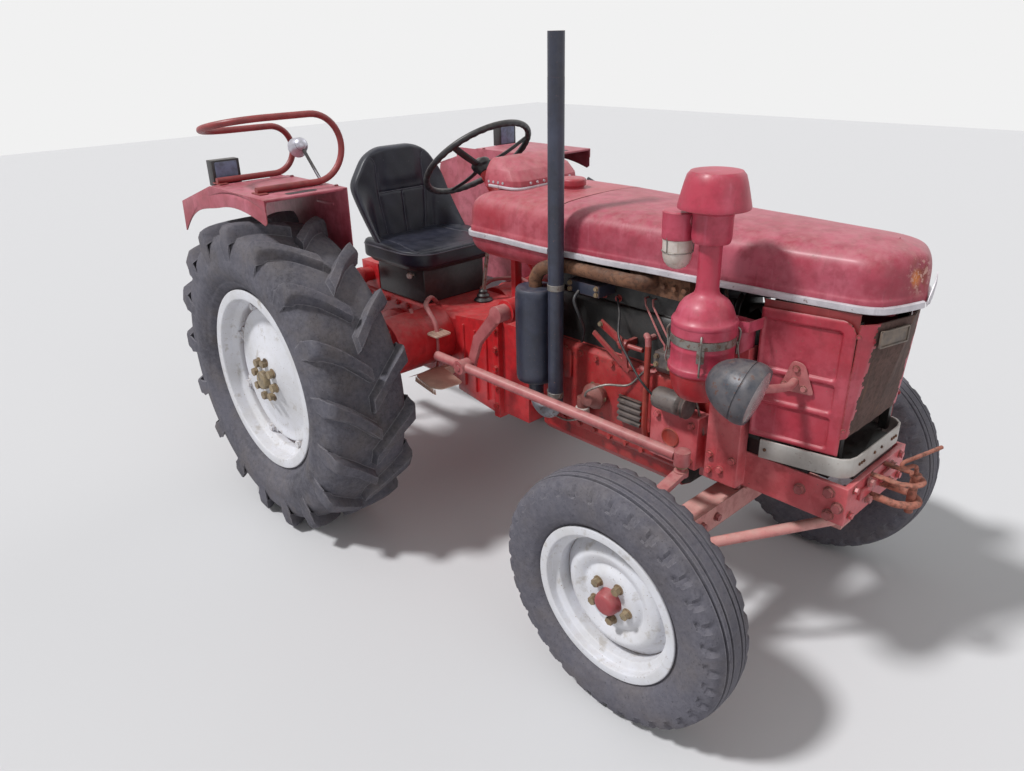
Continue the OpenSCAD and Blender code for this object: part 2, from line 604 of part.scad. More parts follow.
module drawbar() color("firebrick") difference() {
    union() {
        box([-560, -30, 350], [-150, 30, 372]);
        box([-290, -40, 372], [-230, 40, belly_z + 20]);
    }
    translate([-530, 0, 340]) cylinder(h = 50, r = 13);
}

module pto_shaft() color("gray") rod([-360, 0, 560], [-250, 0, 560], 17.5);

// Ears of the bonnet on the hinge pin
module bonnet_ears() mirrored_y() difference() {
    union() {
        along_y([hinge[0], 60, hinge[2]], 8, 14);
        translate([0, 68, 0]) rotate([90, 0, 0]) linear_extrude(8) polygon([[hinge[0] - 12, hinge[2] - 3],
            [hinge[0] + 10, hinge[2]], [1806, bonnet_z + 126], [1776, bonnet_z + 126]]);
    }
    along_y([hinge[0], 59, hinge[2]], 10, hinge_r + pin_play);
}
module bonnet() color("crimson") {
    bonnet_ears();
    bonnet_shell();
}
module bonnet_shell() difference() {
    stack_loft([for (l = bonnet_levels) bonnet_outline(l[0], seam_x, bonnet_z + l[1])]);
    stack_loft(concat([bonnet_outline(sheet_t, seam_x - 1, bonnet_z - 1)],
        [for (i = [1 : len(bonnet_levels) - 1]) let (l = bonnet_levels[i])
            bonnet_outline(l[0] + sheet_t, seam_x - 1, bonnet_z + l[1] - sheet_t + 0.1)]));
}

module bonnet_trim() color("silver") translate([0, 0, bonnet_z - 12]) linear_extrude(20) difference() {
    polygon([for (p = bonnet_outline(-9, seam_x, 0)) [p[0], p[1]]]);
    polygon([for (p = bonnet_outline(-seat_gap, seam_x - 1, 0)) [p[0], p[1]]]);
    translate([nose_x - 20, -2]) square([60, 4]);
}

module knuckle() {
    translate([0, 0, sleeve_high + 2]) cylinder(h = 90, r = kingpin_r);
    translate([0, 0, sleeve_low - 48]) cylinder(h = sleeve_high - sleeve_low + 50, r = kingpin_r);
    translate([0, 0, front_z - 30]) cylinder(h = sleeve_low - 3 - front_z + 30, r = 30);
    translate([0, kingpin_y - front_y, front_z]) rotate([camber, 0, 0])
        along_y([0, -20, 0], front_y - kingpin_y + 20, spindle_r);
    translate([0, 0, track_z - 32]) {
        cylinder(h = 16, r = 24);
        translate([-track_arm, 0, 0]) cylinder(h = 16, r = 18);
        translate([-track_arm, -17, 0]) cube([track_arm, 34, 16]);
    }
    translate([-track_arm, 0, track_z - 17]) cylinder(h = 36, r = ball_r);
}
module knuckle_right() color("palevioletred") translate([wheelbase, -kingpin_y, 0]) {
    knuckle();
    translate([0, 0, sleeve_high + 78]) cylinder(h = 14, r = 24);
    bar([0, 0, sleeve_high + 85], [arm_ball[0], arm_ball[1], sleeve_high + 105], 14, 34);
    translate([arm_ball[0], arm_ball[1], sleeve_high + 97]) cylinder(h = 15, r = 20);
    translate([arm_ball[0], arm_ball[1], sleeve_high + 111]) cylinder(h = 12, r = 12);
}
module knuckle_left() color("palevioletred") translate([wheelbase, kingpin_y, 0]) mirror([0, 1, 0]) knuckle();

module at_front_right() translate([wheelbase, -front_y, front_z]) rotate([camber, 0, 0]) children();
module at_front_left() mirror([0, 1, 0]) at_front_right() children();
module at_rear_right() translate([0, -rear_y, rear_r]) children();
module at_rear_left() mirror([0, 1, 0]) at_rear_right() children();

module front_tyre() {
    b = front_bead_r + seat_gap;
    side = front_rim_half - rim_t - seat_gap;
    f = front_bead_r + 20;
    half = concat([[b, side], [f + 4, side], [f + 22, 74], [f + 50, front_w / 2], [front_r - 54, front_w / 2 - 1]],
        [for (i = [len(front_tread) - 1 : -1 : 0]) front_tread[i]]);
    grooves = [[16, 22], [-22, -16]];
    difference() {
        revolve_y() polygon(concat([for (p = half) [p[0], p[1]]],
            [for (i = [len(half) - 1 : -1 : 0]) [half[i][0], -half[i][1]]]));
        for (g = grooves) revolve_y() translate([front_r - 9, g[0]]) square([12, g[1] - g[0]]);
    }
}
module front_rim() {
    b = front_bead_r;
    f = front_bead_r + 20;
    e = front_rim_half;
    bore = spindle_r + pin_play;
    revolve_y() polygon([[0, -e], [28, -e], [32, -56], [36, -30], [70, -30], [96, -14], [150, -10], [b - 26, 8],
        [b - 26, -32], [b - 6, -40], [b - 6, -e], [f, -e], [f, rim_t - e], [b, rim_t - e], [b, -36], [b - 20, -28],
        [b - 20, 28], [b, 36], [b, e - rim_t], [f, e - rim_t], [f, e], [b - 6, e], [b - 6, 40], [b - 26, 32],
        [b - 26, 16], [150, -2], [94, -4], [66, -20], [46, -20], [42, 60], [bore, 60], [bore, -21], [0, -21]]);
}
module front_tyre_right() color("dimgray") at_front_right() front_tyre();
module front_tyre_left() color("dimgray") at_front_left() front_tyre();
module front_rim_right() color("lightgray") at_front_right() front_rim();
module front_rim_left() color("lightgray") at_front_left() front_rim();

// Point on the rear tyre: angle, distance from the middle, radius
function tread_point(a, y, r) = [r * sin(a), y, r * cos(a)];
// Radius of the carcass at a distance from the middle
function crown(y) = lug_base_r - 26 * pow(abs(y) / (rear_w / 2), 3);
// One lug: a bar that runs from the middle to the shoulder at about 45 degrees
module lug(a0, s) {
    // part of the half width, turn of the bar in degrees, half thickness at the base, height share
    stations = [[-0.04, 0, 2.4, 1], [0.45, 7.4, 2.2, 1], [0.78, 11.4, 2.3, 1], [0.97, 12.6, 2.6, 0.9],
        [1.0, 12.8, 2.6, 0.2]];
    rings = [for (k = stations) let (y = s * k[0] * rear_w / 2, a = a0 - k[1], low = crown(y) - 8,
            high = crown(y) + (lug_h + (lug_base_r - crown(y))) * k[3] - 12 * pow(abs(k[0]), 6))
        [tread_point(a - k[2] - 0.5, y, low), tread_point(a - k[2] + 0.6, y, high),
            tread_point(a + k[2] - 0.6, y, high), tread_point(a + k[2] + 0.5, y, low)]];
    stack_loft(s > 0 ? rings : [for (ring = rings) [for (i = [3 : -1 : 0]) ring[i]]]);
}
module rear_tyre() {
    b = (rear_bead_r + seat_gap) / cos(180 / tyre_fn);
    side = rim_half - rim_t - seat_gap;
    f = rear_bead_r + flange_h;
    // radius, distance from the middle
    half = [[b, side], [f + 6, side], [f + 28, 140], [f + 70, rear_w / 2], [f + 130, rear_w / 2 - 2],
        [lug_base_r - 30, rear_w / 2 - 10], [crown(rear_w / 2 - 36), rear_w / 2 - 36], [crown(60), 60]];
    rotate([-90, 0, 0]) rotate_extrude($fn = tyre_fn) polygon(concat([for (p = half) p],
        [for (i = [len(half) - 1 : -1 : 0]) [half[i][0], -half[i][1]]]));
    pitch = 360 / lug_count;
    for (i = [0 : lug_count - 1]) {
        lug(i * pitch, 1);
        lug((i + 0.5) * pitch, -1);
    }
}
module rear_rim() {
    b = rear_bead_r;
    f = rear_bead_r + flange_h;
    e = rim_half;
    revolve_y() polygon([[b, rim_t - e], [f, rim_t - e], [f, -e], [b - 8, -e], [b - 8, -80], [b - 30, -66],
        [b - 30, 66], [b - 8, 80], [b - 8, e], [f, e], [f, e - rim_t], [b, e - rim_t], [b, 76],
        [b - 22, 62], [b - 22, -62], [b, -76]]);
    revolve_y() polygon([[0, -123], [62, -123], [66, -96], [80, -96], [100, -84], [190, -60], [245, -58],
        [245, -50], [188, -52], [98, -76], [76, -86], [axle_shaft_r, -86], [axle_shaft_r, rear_y - 395],
        [0, rear_y - 395]]);
    for (k = [0 : 7]) rotate([0, 45 * k + 22.5, 0]) box([-26, -54, 225], [26, -40, b - 27]);
}
module rear_tyre_right() color("dimgray") at_rear_right() rear_tyre();
module rear_tyre_left() color("dimgray") at_rear_left() rear_tyre();
module rear_rim_right() color("lightgray") at_rear_right() rear_rim();
module rear_rim_left() color("lightgray") at_rear_left() rear_rim();

module steering_wheel() color("black") translate(wheel_centre) rotate([0, -wheel_rake, 0]) {
    rotate_extrude($fn = 72) translate([wheel_ring_r, 0]) circle(10);
    for (a = [60, 180, 300]) rotate([0, 0, a]) rod([0, 0, -28], [wheel_ring_r - 4, 0, 0], 7);
    translate([0, 0, -58]) cylinder(h = 44, r = 30);
}

// Flat link along Y between two eyes
module flat_link(a, b, ra, rb, y, t) {
    side = 0.93 * unit([b[2] - a[2], 0, a[0] - b[0]]);
    along_y([a[0], y, a[2]], t, ra);
    along_y([b[0], y, b[2]], t, rb);
    translate([0, y + t, 0]) rotate([90, 0, 0]) linear_extrude(t)
        polygon([for (p = [a + ra * side, b + rb * side, b - rb * side, a - ra * side]) [p[0], p[2]]]);
}

module drop_arm() color("indianred") {
    elbow = drop_ball + [34, 0, 92];
    y = drop_pivot[1] - 26;
    along_y([drop_pivot[0], y - 4, drop_pivot[2]], 44, 27);
    flat_link(drop_pivot, elbow, 22, 19, y, 18);
    flat_link(elbow, drop_ball, 19, 17, y, 14);
    along_y([drop_ball[0], drop_ball[1] - 26, drop_ball[2]], y - drop_ball[1] + 30, ball_r);
}

module drag_link() color("palevioletred") {
    d = link_front - drop_ball;
    u = d / norm(d);
    difference() {
        union() {
            rod(drop_ball - 130 * u, link_front - 20 * u, link_r);
            along_y([drop_ball[0], drop_ball[1] - 22, drop_ball[2]], 44, 24);
        }
        along_y([drop_ball[0], drop_ball[1] - 30, drop_ball[2]], 60, ball_r + pin_play);
    }
    translate(link_front - [0, 0, 20]) cylinder(h = 40, r = 22);
}

module track_rod() color("palevioletred") {
    x = wheelbase - track_arm;
    difference() {
        union() {
            rod([x, -kingpin_y, track_z], [x, kingpin_y, track_z], track_r);
            for (s = [-1, 1]) translate([x, s * kingpin_y, track_z - 15]) cylinder(h = 30, r = 21);
        }
        for (s = [-1, 1]) translate([x, s * kingpin_y, track_z - 20]) cylinder(h = 40, r = ball_r + pin_play);
    }
}

module lift_arms() color("firebrick") {
    end = lift_pivot - [lift_len, 0, 60];
    along_y([lift_pivot[0], -lift_arm_y, lift_pivot[2]], 2 * lift_arm_y, 28);
    mirrored_y() {
        flat_link(lift_pivot, end, 34, 20, lift_arm_y - 18, 18);
        along_y([end[0], lift_arm_y - 1, end[2]], 32, ball_r);
    }
}

module lift_rods() color("indianred") mirrored_y() {
    end = lift_pivot - [lift_len, 0, 60];
    low = link_pin[2] - link_drop * (link_pin[0] - end[0]) / link_len + link_depth / 2 + 12;
    difference() {
        union() {
            rod([end[0], lift_arm_y + 16, end[2]], [end[0], lift_arm_y + 16, low], 12);
            along_y([end[0], lift_arm_y + 1, end[2]], 30, 19);
        }
        along_y([end[0], lift_arm_y, end[2]], 40, ball_r + pin_play);
    }
}

module lower_links() color("firebrick") mirrored_y() {
    rear = link_pin + [-link_len, link_spread, -link_drop];
    difference() {
        union() {
            along_y(link_pin - [0, 12, 0], 24, link_eye_r);
            along_y(rear - [0, 12, 0], 24, link_eye_r);
            bar(link_pin, rear, link_depth, 16);
        }
        along_y(rear - [0, 30, 0], 60, 14);
        along_y(link_pin - [0, 30, 0], 60, link_pin_r + pin_play);
    }
}

shifted() gearbox_housing();
shifted() rear_axle_housing();
shifted() engine_block();
shifted() engine_fittings();
shifted() exhaust_pipe();
shifted() silencer();
shifted() exhaust_stack();
shifted() air_cleaner();
shifted() pre_cleaner();
shifted() dust_jar();
shifted() radiator();
shifted() side_panels();
shifted() grille();
shifted() bumper_band();
shifted() front_frame();
shifted() front_axle();
shifted() fuel_tank();
shifted() tank_trim();
shifted() dash_cowl();
shifted() steering_box();
shifted() seat();
shifted() seat_base();
shifted() mudguard_right();
shifted() mudguard_left();
shifted() handrail();
shifted() footsteps();
shifted() pedals();
shifted() headlamps();
shifted() rear_lamps();
shifted() drawbar();
shifted() pto_shaft();
shifted() bonnet();
shifted() bonnet_trim();
shifted() knuckle_right();
shifted() knuckle_left();
shifted() front_tyre_right();
shifted() front_rim_right();
shifted() front_tyre_left();
shifted() front_rim_left();
shifted() rear_tyre_right();
shifted() rear_rim_right();
shifted() rear_tyre_left();
shifted() rear_rim_left();
shifted() steering_wheel();
shifted() drop_arm();
shifted() drag_link();
shifted() track_rod();
shifted() lift_arms();
shifted() lift_rods();
shifted() lower_links();
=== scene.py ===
# Compact farm tractor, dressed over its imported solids. Metres: X forward, Y to the left, Z up.
# Outlines and places are in millimetres, places counted from under the middle of the rear axle.
from math import copysign, cos, exp, hypot, pi, radians, sin, sqrt

import bmesh
import bpy
from mathutils import Matrix, Vector


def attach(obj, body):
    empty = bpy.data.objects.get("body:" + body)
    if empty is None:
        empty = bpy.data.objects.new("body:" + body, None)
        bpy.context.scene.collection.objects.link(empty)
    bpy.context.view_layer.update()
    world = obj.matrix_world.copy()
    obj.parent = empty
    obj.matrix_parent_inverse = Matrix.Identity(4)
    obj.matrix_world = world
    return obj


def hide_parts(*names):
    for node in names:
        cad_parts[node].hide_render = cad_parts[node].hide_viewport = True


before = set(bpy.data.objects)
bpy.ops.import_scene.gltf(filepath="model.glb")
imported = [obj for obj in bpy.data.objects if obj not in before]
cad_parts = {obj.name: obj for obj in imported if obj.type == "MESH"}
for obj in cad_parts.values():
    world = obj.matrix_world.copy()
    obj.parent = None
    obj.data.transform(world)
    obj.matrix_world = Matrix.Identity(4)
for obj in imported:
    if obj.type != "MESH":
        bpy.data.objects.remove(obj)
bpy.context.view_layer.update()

AXLE_TO_ORIGIN = 0.6005
SOLID_MERGE, FORM_MERGE = 2e-5, 1e-5    # corners closer than this are one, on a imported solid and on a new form
FLAT = radians(0.6)                     # faces of a solid that bend less than this are one
BOTH = (-1, 1)                          # right, left
SIDE_NAME = {-1: "right", 1: "left"}
RED, PINK, BLACK, TRIM = "painted_metal_red", "painted_metal_pink", "black_paint", "black_trim"
scene = bpy.context.scene


# ---------------------------------------------------------------- small helpers

def at(x, y, z):
    """A place given from the rear axle in millimetres."""
    return Vector((x / 1000 - AXLE_TO_ORIGIN, y / 1000, z / 1000))


def in_mm(c):
    return (c.x + AXLE_TO_ORIGIN) * 1000, c.y * 1000, c.z * 1000


def spot(x, y, z):
    return Matrix.Translation(at(x, y, z))


def turn(degrees, axis):
    return Matrix.Rotation(radians(degrees), 4, axis)


def facing(place, direction, spin=0):
    """Matrix that puts a form's own Z along a direction at a place."""
    q = Vector(direction).to_track_quat("Z", "Y")
    return Matrix.Translation(place) @ q.to_matrix().to_4x4() @ turn(spin, "Z")


def ease(t):
    t = max(0.0, min(1.0, t))
    return t * t * (3 - 2 * t)


def piece(name, me, paint, replaces=None, angle=38, body="chassis"):
    """A finished piece of the tractor, with its finish, riding on a body."""
    for p in me.polygons:
        p.use_smooth = True
    me.set_sharp_from_angle(angle=radians(angle))
    ob = bpy.data.objects.new(name, me)
    scene.collection.objects.link(ob)
    if paint is not None:
        me.materials.clear()
        me.materials.append(paint)
    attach(ob, body)
    if replaces:
        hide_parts(replaces)
    return ob


def loose(me):
    ob = bpy.data.objects.new("loose", me)
    scene.collection.objects.link(ob)
    return ob


def baked(ob):
    """The object's mesh with its modifiers worked in."""
    bpy.context.view_layer.update()
    me = bpy.data.meshes.new_from_object(ob.evaluated_get(bpy.context.evaluated_depsgraph_get()))
    bpy.data.objects.remove(ob)
    return me


def worked(me, *steps):
    """A mesh after modifiers, each given as its kind and its settings."""
    ob = loose(me)
    for kind, settings in steps:
        m = ob.modifiers.new(kind.lower(), kind)
        for k, v in settings.items():
            setattr(m, k, v)
    return baked(ob)


def rounded(me, width, segments=2, angle=30):
    return worked(me, ("BEVEL", {"width": width / 1000, "segments": segments, "limit_method": "ANGLE",
                                 "angle_limit": radians(angle), "use_clamp_overlap": True}))


def sheet(me, thickness, offset=-1.0):
    return worked(me, ("SOLIDIFY", {"thickness": thickness / 1000, "offset": offset}))


def kept(solid, keep=None, whole=False):
    """A solid's mesh with its triangles merged; a test in millimetres keeps faces by their middle or every corner."""
    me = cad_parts[solid].data.copy()
    bm = bmesh.new()
    bm.from_mesh(me)
    bmesh.ops.remove_doubles(bm, verts=bm.verts, dist=SOLID_MERGE)
    if keep:
        gone = [f for f in bm.faces if not all(keep(*in_mm(c)) for c in (
            [v.co for v in f.verts] if whole else [f.calc_center_median()]))]
        bmesh.ops.delete(bm, geom=gone, context="FACES")
    bmesh.ops.dissolve_limit(bm, angle_limit=FLAT, verts=bm.verts, edges=bm.edges)
    bm.to_mesh(me)
    bm.free()
    return me


def softened(solid, paint, width=2.0, segments=2, angle=32, body="chassis"):
    """A solid whose shape is right: merged, rounded along its edges and finished."""
    return piece(solid + "_dressed", rounded(kept(solid), width, segments, angle), paint, solid, body=body)


def mesh_of(verts, faces):
    me = bpy.data.meshes.new("form")
    me.from_pydata([tuple(v) for v in verts], [], faces)
    me.validate()
    return me


def outward(me):
    bm = bmesh.new()
    bm.from_mesh(me)
    bmesh.ops.remove_doubles(bm, verts=bm.verts, dist=FORM_MERGE)
    bmesh.ops.recalc_face_normals(bm, faces=bm.faces)
    bm.to_mesh(me)
    bm.free()
    return me


def joined(*meshes):
    bm = bmesh.new()
    for me in meshes:
        bm.from_mesh(me)
    out = bpy.data.meshes.new("joined")
    bm.to_mesh(out)
    bm.free()
    return out


def moved(me, matrix):
    me.transform(matrix)
    if matrix.determinant() < 0:
        me.flip_normals()
    return me


def grid_faces(rows, columns, wrap_rows=False, wrap_columns=False):
    return [(i * columns + j, i * columns + (j + 1) % columns,
             ((i + 1) % rows) * columns + (j + 1) % columns, ((i + 1) % rows) * columns + j)
            for i in range(rows if wrap_rows else rows - 1)
            for j in range(columns if wrap_columns else columns - 1)]


def ringed(verts, rows, columns):
    """A closed form from rings of points, its two ends filled."""
    ends = [tuple(range(columns)), tuple(range((rows - 1) * columns, rows * columns))]
    return outward(mesh_of(verts, grid_faces(rows, columns, False, True) + ends))


def open_sheet(verts, rows, columns, axis, way):
    """A surface from rows of points, its normals mostly one way along an axis."""
    me = outward(mesh_of(verts, grid_faces(rows, columns)))
    if sum(p.normal[axis] for p in me.polygons) * way < 0:
        me.flip_normals()
    return me


def filleted(points, radius, steps=3):
    """A flat outline with its corners rounded; a corner may carry its own radius as a third number."""
    out, n = [], len(points)
    for i, p in enumerate(points):
        r = p[2] if len(p) > 2 else radius
        if r <= 0:
            out.append((p[0], p[1]))
            continue
        a, b, c = Vector(points[i - 1][:2]), Vector(p[:2]), Vector(points[(i + 1) % n][:2])
        da, dc = a - b, c - b
        reach = min(r, da.length * 0.45, dc.length * 0.45)
        start, end = b + da.normalized() * reach, b + dc.normalized() * reach
        for t in (k / steps for k in range(steps + 1)):
            out.append(tuple(start * (1 - t) ** 2 + b * (2 * t * (1 - t)) + end * t * t))
    return out


def oblong(w, h, radius=0, steps=3):
    """A rectangle given by its half width and half height."""
    return filleted([(-w, -h), (w, -h), (w, h), (-w, h)], radius, steps)


def lathe(outline, steps=72, fillet=0, corner_steps=3):
    """A form of revolution about Z from (radius, height) points, its corners rounded by a fillet."""
    if fillet:
        outline = filleted(outline, fillet, corner_steps)
    verts = [(r / 1000 * cos(a), r / 1000 * sin(a), z / 1000)
             for a in (2 * pi * k / steps for k in range(steps)) for r, z in outline]
    return outward(mesh_of(verts, grid_faces(steps, len(outline), True, True)))


def swept(path, radius, sides=12, flat=1.0):
    """A round or oval bar along a path."""
    n, rings, up = len(path), [], None
    ring = [(radius / 1000 * cos(a), radius / 1000 * flat * sin(a)) for a in (2 * pi * k / sides for k in range(sides))]
    for i, p in enumerate(path):
        d = (path[min(i + 1, n - 1)] - path[max(i - 1, 0)]).normalized()
        if up is None:
            up = (Vector((0, 0, 1)) - d * d.z).normalized() if abs(d.z) < 0.9 else d.orthogonal().normalized()
        up = (up - d * up.dot(d)).normalized()
        side = d.cross(up)
        rings += [p + u * side + v * up for u, v in ring]
    return ringed(rings, n, sides)


def curve_through(points, per=6):
    """Points on a smooth curve through the given ones."""
    p = [Vector(q) for q in points]
    out = []
    for i in range(len(p) - 1):
        a, b, c, d = p[max(i - 1, 0)], p[i], p[i + 1], p[min(i + 2, len(p) - 1)]
        for t in (k / per for k in range(per)):
            out.append(0.5 * ((2 * b) + (c - a) * t + (2 * a - 5 * b + 4 * c - d) * t * t
                              + (3 * b - a - 3 * c + d) * t ** 3))
    return out + [p[-1]]


def pipe(points, radius, sides=12, per=6, flat=1.0):
    """A bar on a smooth line through places."""
    return swept(curve_through([at(*p) for p in points], per), radius, sides, flat)


def slab(outline, thickness, place, bevel=1.5):
    """A plate cut from a flat outline in its own XY plane, then put in place."""
    n, half = len(outline), thickness / 2000
    verts = [(p[0] / 1000, p[1] / 1000, z) for z in (-half, half) for p in outline]
    faces = [tuple(range(n - 1, -1, -1)), tuple(range(n, 2 * n))]
    faces += [(i, (i + 1) % n, n + (i + 1) % n, n + i) for i in range(n)]
    me = outward(mesh_of(verts, faces))
    return moved(rounded(me, bevel) if bevel else me, place)


def painted_where(ob, paint, test):
    """Gives a second finish to the faces whose middle passes a test."""
    ob.data.materials.append(paint)
    for f in ob.data.polygons:
        if test(*in_mm(f.center)):
            f.material_index = len(ob.data.materials) - 1


# ---------------------------------------------------------------- shader groups

def feed(tree, value, socket):
    """Sets a number or colour on a socket, or links what varies to it."""
    if isinstance(value, bpy.types.NodeSocket):
        tree.links.new(value, socket)
    else:
        socket.default_value = value


def node(tree, kind, **settings):
    n = tree.nodes.new(kind)
    for k, v in settings.items():
        setattr(n, k, v)
    return n


def wire(tree, *pairs):
    for a, b in pairs:
        tree.links.new(a, b)


def calc(tree, op, a, b, clamp=False):
    m = node(tree, "ShaderNodeMath", operation=op, use_clamp=clamp)
    feed(tree, a, m.inputs[0])
    feed(tree, b, m.inputs[1])
    return m.outputs[0]


def vector_calc(tree, op, a, b, out=0):
    m = node(tree, "ShaderNodeVectorMath", operation=op)
    wire(tree, (a, m.inputs[0]), (b, m.inputs[1]))
    return m.outputs[out]


def ranged(tree, *values):
    """A smooth step of a value from low to high, onto 0 to 1 unless two more numbers say otherwise."""
    m = node(tree, "ShaderNodeMapRange", interpolation_type="SMOOTHSTEP")
    for v, socket in zip(values, m.inputs):
        feed(tree, v, socket)
    return m.outputs[0]


def own_place(tree, stretch=(1, 1, 1)):
    """The place on the object, stretched."""
    m = node(tree, "ShaderNodeMapping")
    m.inputs["Scale"].default_value = stretch
    wire(tree, (node(tree, "ShaderNodeTexCoord").outputs["Object"], m.inputs["Vector"]))
    return m.outputs[0]


def noise(tree, place, scale, detail, rough):
    n = node(tree, "ShaderNodeTexNoise")
    for label, v in (("Detail", detail), ("Roughness", rough), ("Scale", scale), ("Vector", place)):
        feed(tree, v, n.inputs[label])
    return n.outputs["Fac"]


def new_group(name, output="Mask", **inputs):
    """A shader group with numbers or places going in and one value coming out."""
    tree = bpy.data.node_groups.new(name, "ShaderNodeTree")
    for label, value in inputs.items():
        kind = "NodeSocketVector" if isinstance(value, tuple) else "NodeSocketFloat"
        tree.interface.new_socket(label, in_out="INPUT", socket_type=kind).default_value = value
    tree.interface.new_socket(output, in_out="OUTPUT", socket_type="NodeSocketFloat")
    groups[name] = tree
    return tree, tree.nodes.new("NodeGroupInput").outputs, tree.nodes.new("NodeGroupOutput").inputs[0]


def patches_group():
    """Irregular patches."""
    t, i, out = new_group("Patches", Scale=8.0, Coverage=0.5, Softness=0.1, Shift=0.0)
    place = vector_calc(t, "ADD", own_place(t), i["Shift"])
    level = calc(t, "SUBTRACT", 0.72, calc(t, "MULTIPLY", i["Coverage"], 0.44))
    wire(t, (ranged(t, noise(t, place, i["Scale"], 6.0, 0.62), calc(t, "SUBTRACT", level, i["Softness"]),
                    calc(t, "ADD", level, i["Softness"])), out))


def runs_group():
    """Water runs down upright faces."""
    t, i, out = new_group("Runs", Scale=60.0, Coverage=0.5)
    level = calc(t, "SUBTRACT", 0.72, calc(t, "MULTIPLY", i["Coverage"], 0.4))
    wire(t, (ranged(t, noise(t, own_place(t, (1, 1, 0.07)), i["Scale"], 3.0, 0.55), level,
                    calc(t, "ADD", level, 0.16)), out))


def edge_group():
    """Paint rubbed off along edges."""
    t, i, out = new_group("Edge", Radius=0.004, Amount=0.5, Grain=90.0)
    b = node(t, "ShaderNodeBevel", samples=4)
    wire(t, (i["Radius"], b.inputs["Radius"]))
    same = vector_calc(t, "DOT_PRODUCT", b.outputs[0], node(t, "ShaderNodeNewGeometry").outputs["Normal"], "Value")
    bend = calc(t, "MULTIPLY", calc(t, "SUBTRACT", 1.0, same), 6.0, True)
    level = calc(t, "SUBTRACT", 0.95, calc(t, "MULTIPLY", i["Amount"], 0.6))
    worn = calc(t, "MULTIPLY", bend, calc(t, "ADD", noise(t, own_place(t), i["Grain"], 5.0, 0.7), 0.35))
    wire(t, (ranged(t, worn, level, calc(t, "ADD", level, 0.14)), out))


def dust_group():
    """Dust that lies on what faces up."""
    t, i, out = new_group("Dust", Amount=0.4, Scale=14.0)
    s = node(t, "ShaderNodeSeparateXYZ")
    wire(t, (node(t, "ShaderNodeNewGeometry").outputs["Normal"], s.inputs[0]))
    up = ranged(t, s.outputs["Z"], 0.1, 0.95, 0.15, 1.0)
    spread = ranged(t, noise(t, own_place(t), i["Scale"], 7.0, 0.65), 0.3, 0.7)
    wire(t, (calc(t, "MULTIPLY", calc(t, "MULTIPLY", up, spread), i["Amount"], True), out))


def near_group():
    """A soft ball round a place, such as a dent or a rusted corner."""
    t, i, out = new_group("Near", Place=(0, 0, 0), Reach=0.1)
    far = vector_calc(t, "DISTANCE", node(t, "ShaderNodeTexCoord").outputs["Object"], i["Place"], "Value")
    wire(t, (ranged(t, calc(t, "DIVIDE", far, i["Reach"]), 0.2, 1.0, 1.0, 0.0), out))


def grain_group():
    """Fine surface grain for the bump."""
    t, i, out = new_group("Grain", "Height", Scale=500.0, Lumps=60.0, Mix=0.5)
    place = own_place(t)
    lumps = calc(t, "MULTIPLY", noise(t, place, i["Lumps"], 4.0, 0.55), i["Mix"])
    fine = calc(t, "MULTIPLY", noise(t, place, i["Scale"], 3.0, 0.6), calc(t, "SUBTRACT", 1.0, i["Mix"]))
    wire(t, (calc(t, "ADD", lumps, fine), out))


groups = {}
for make in (patches_group, runs_group, edge_group, dust_group, near_group, grain_group):
    make()


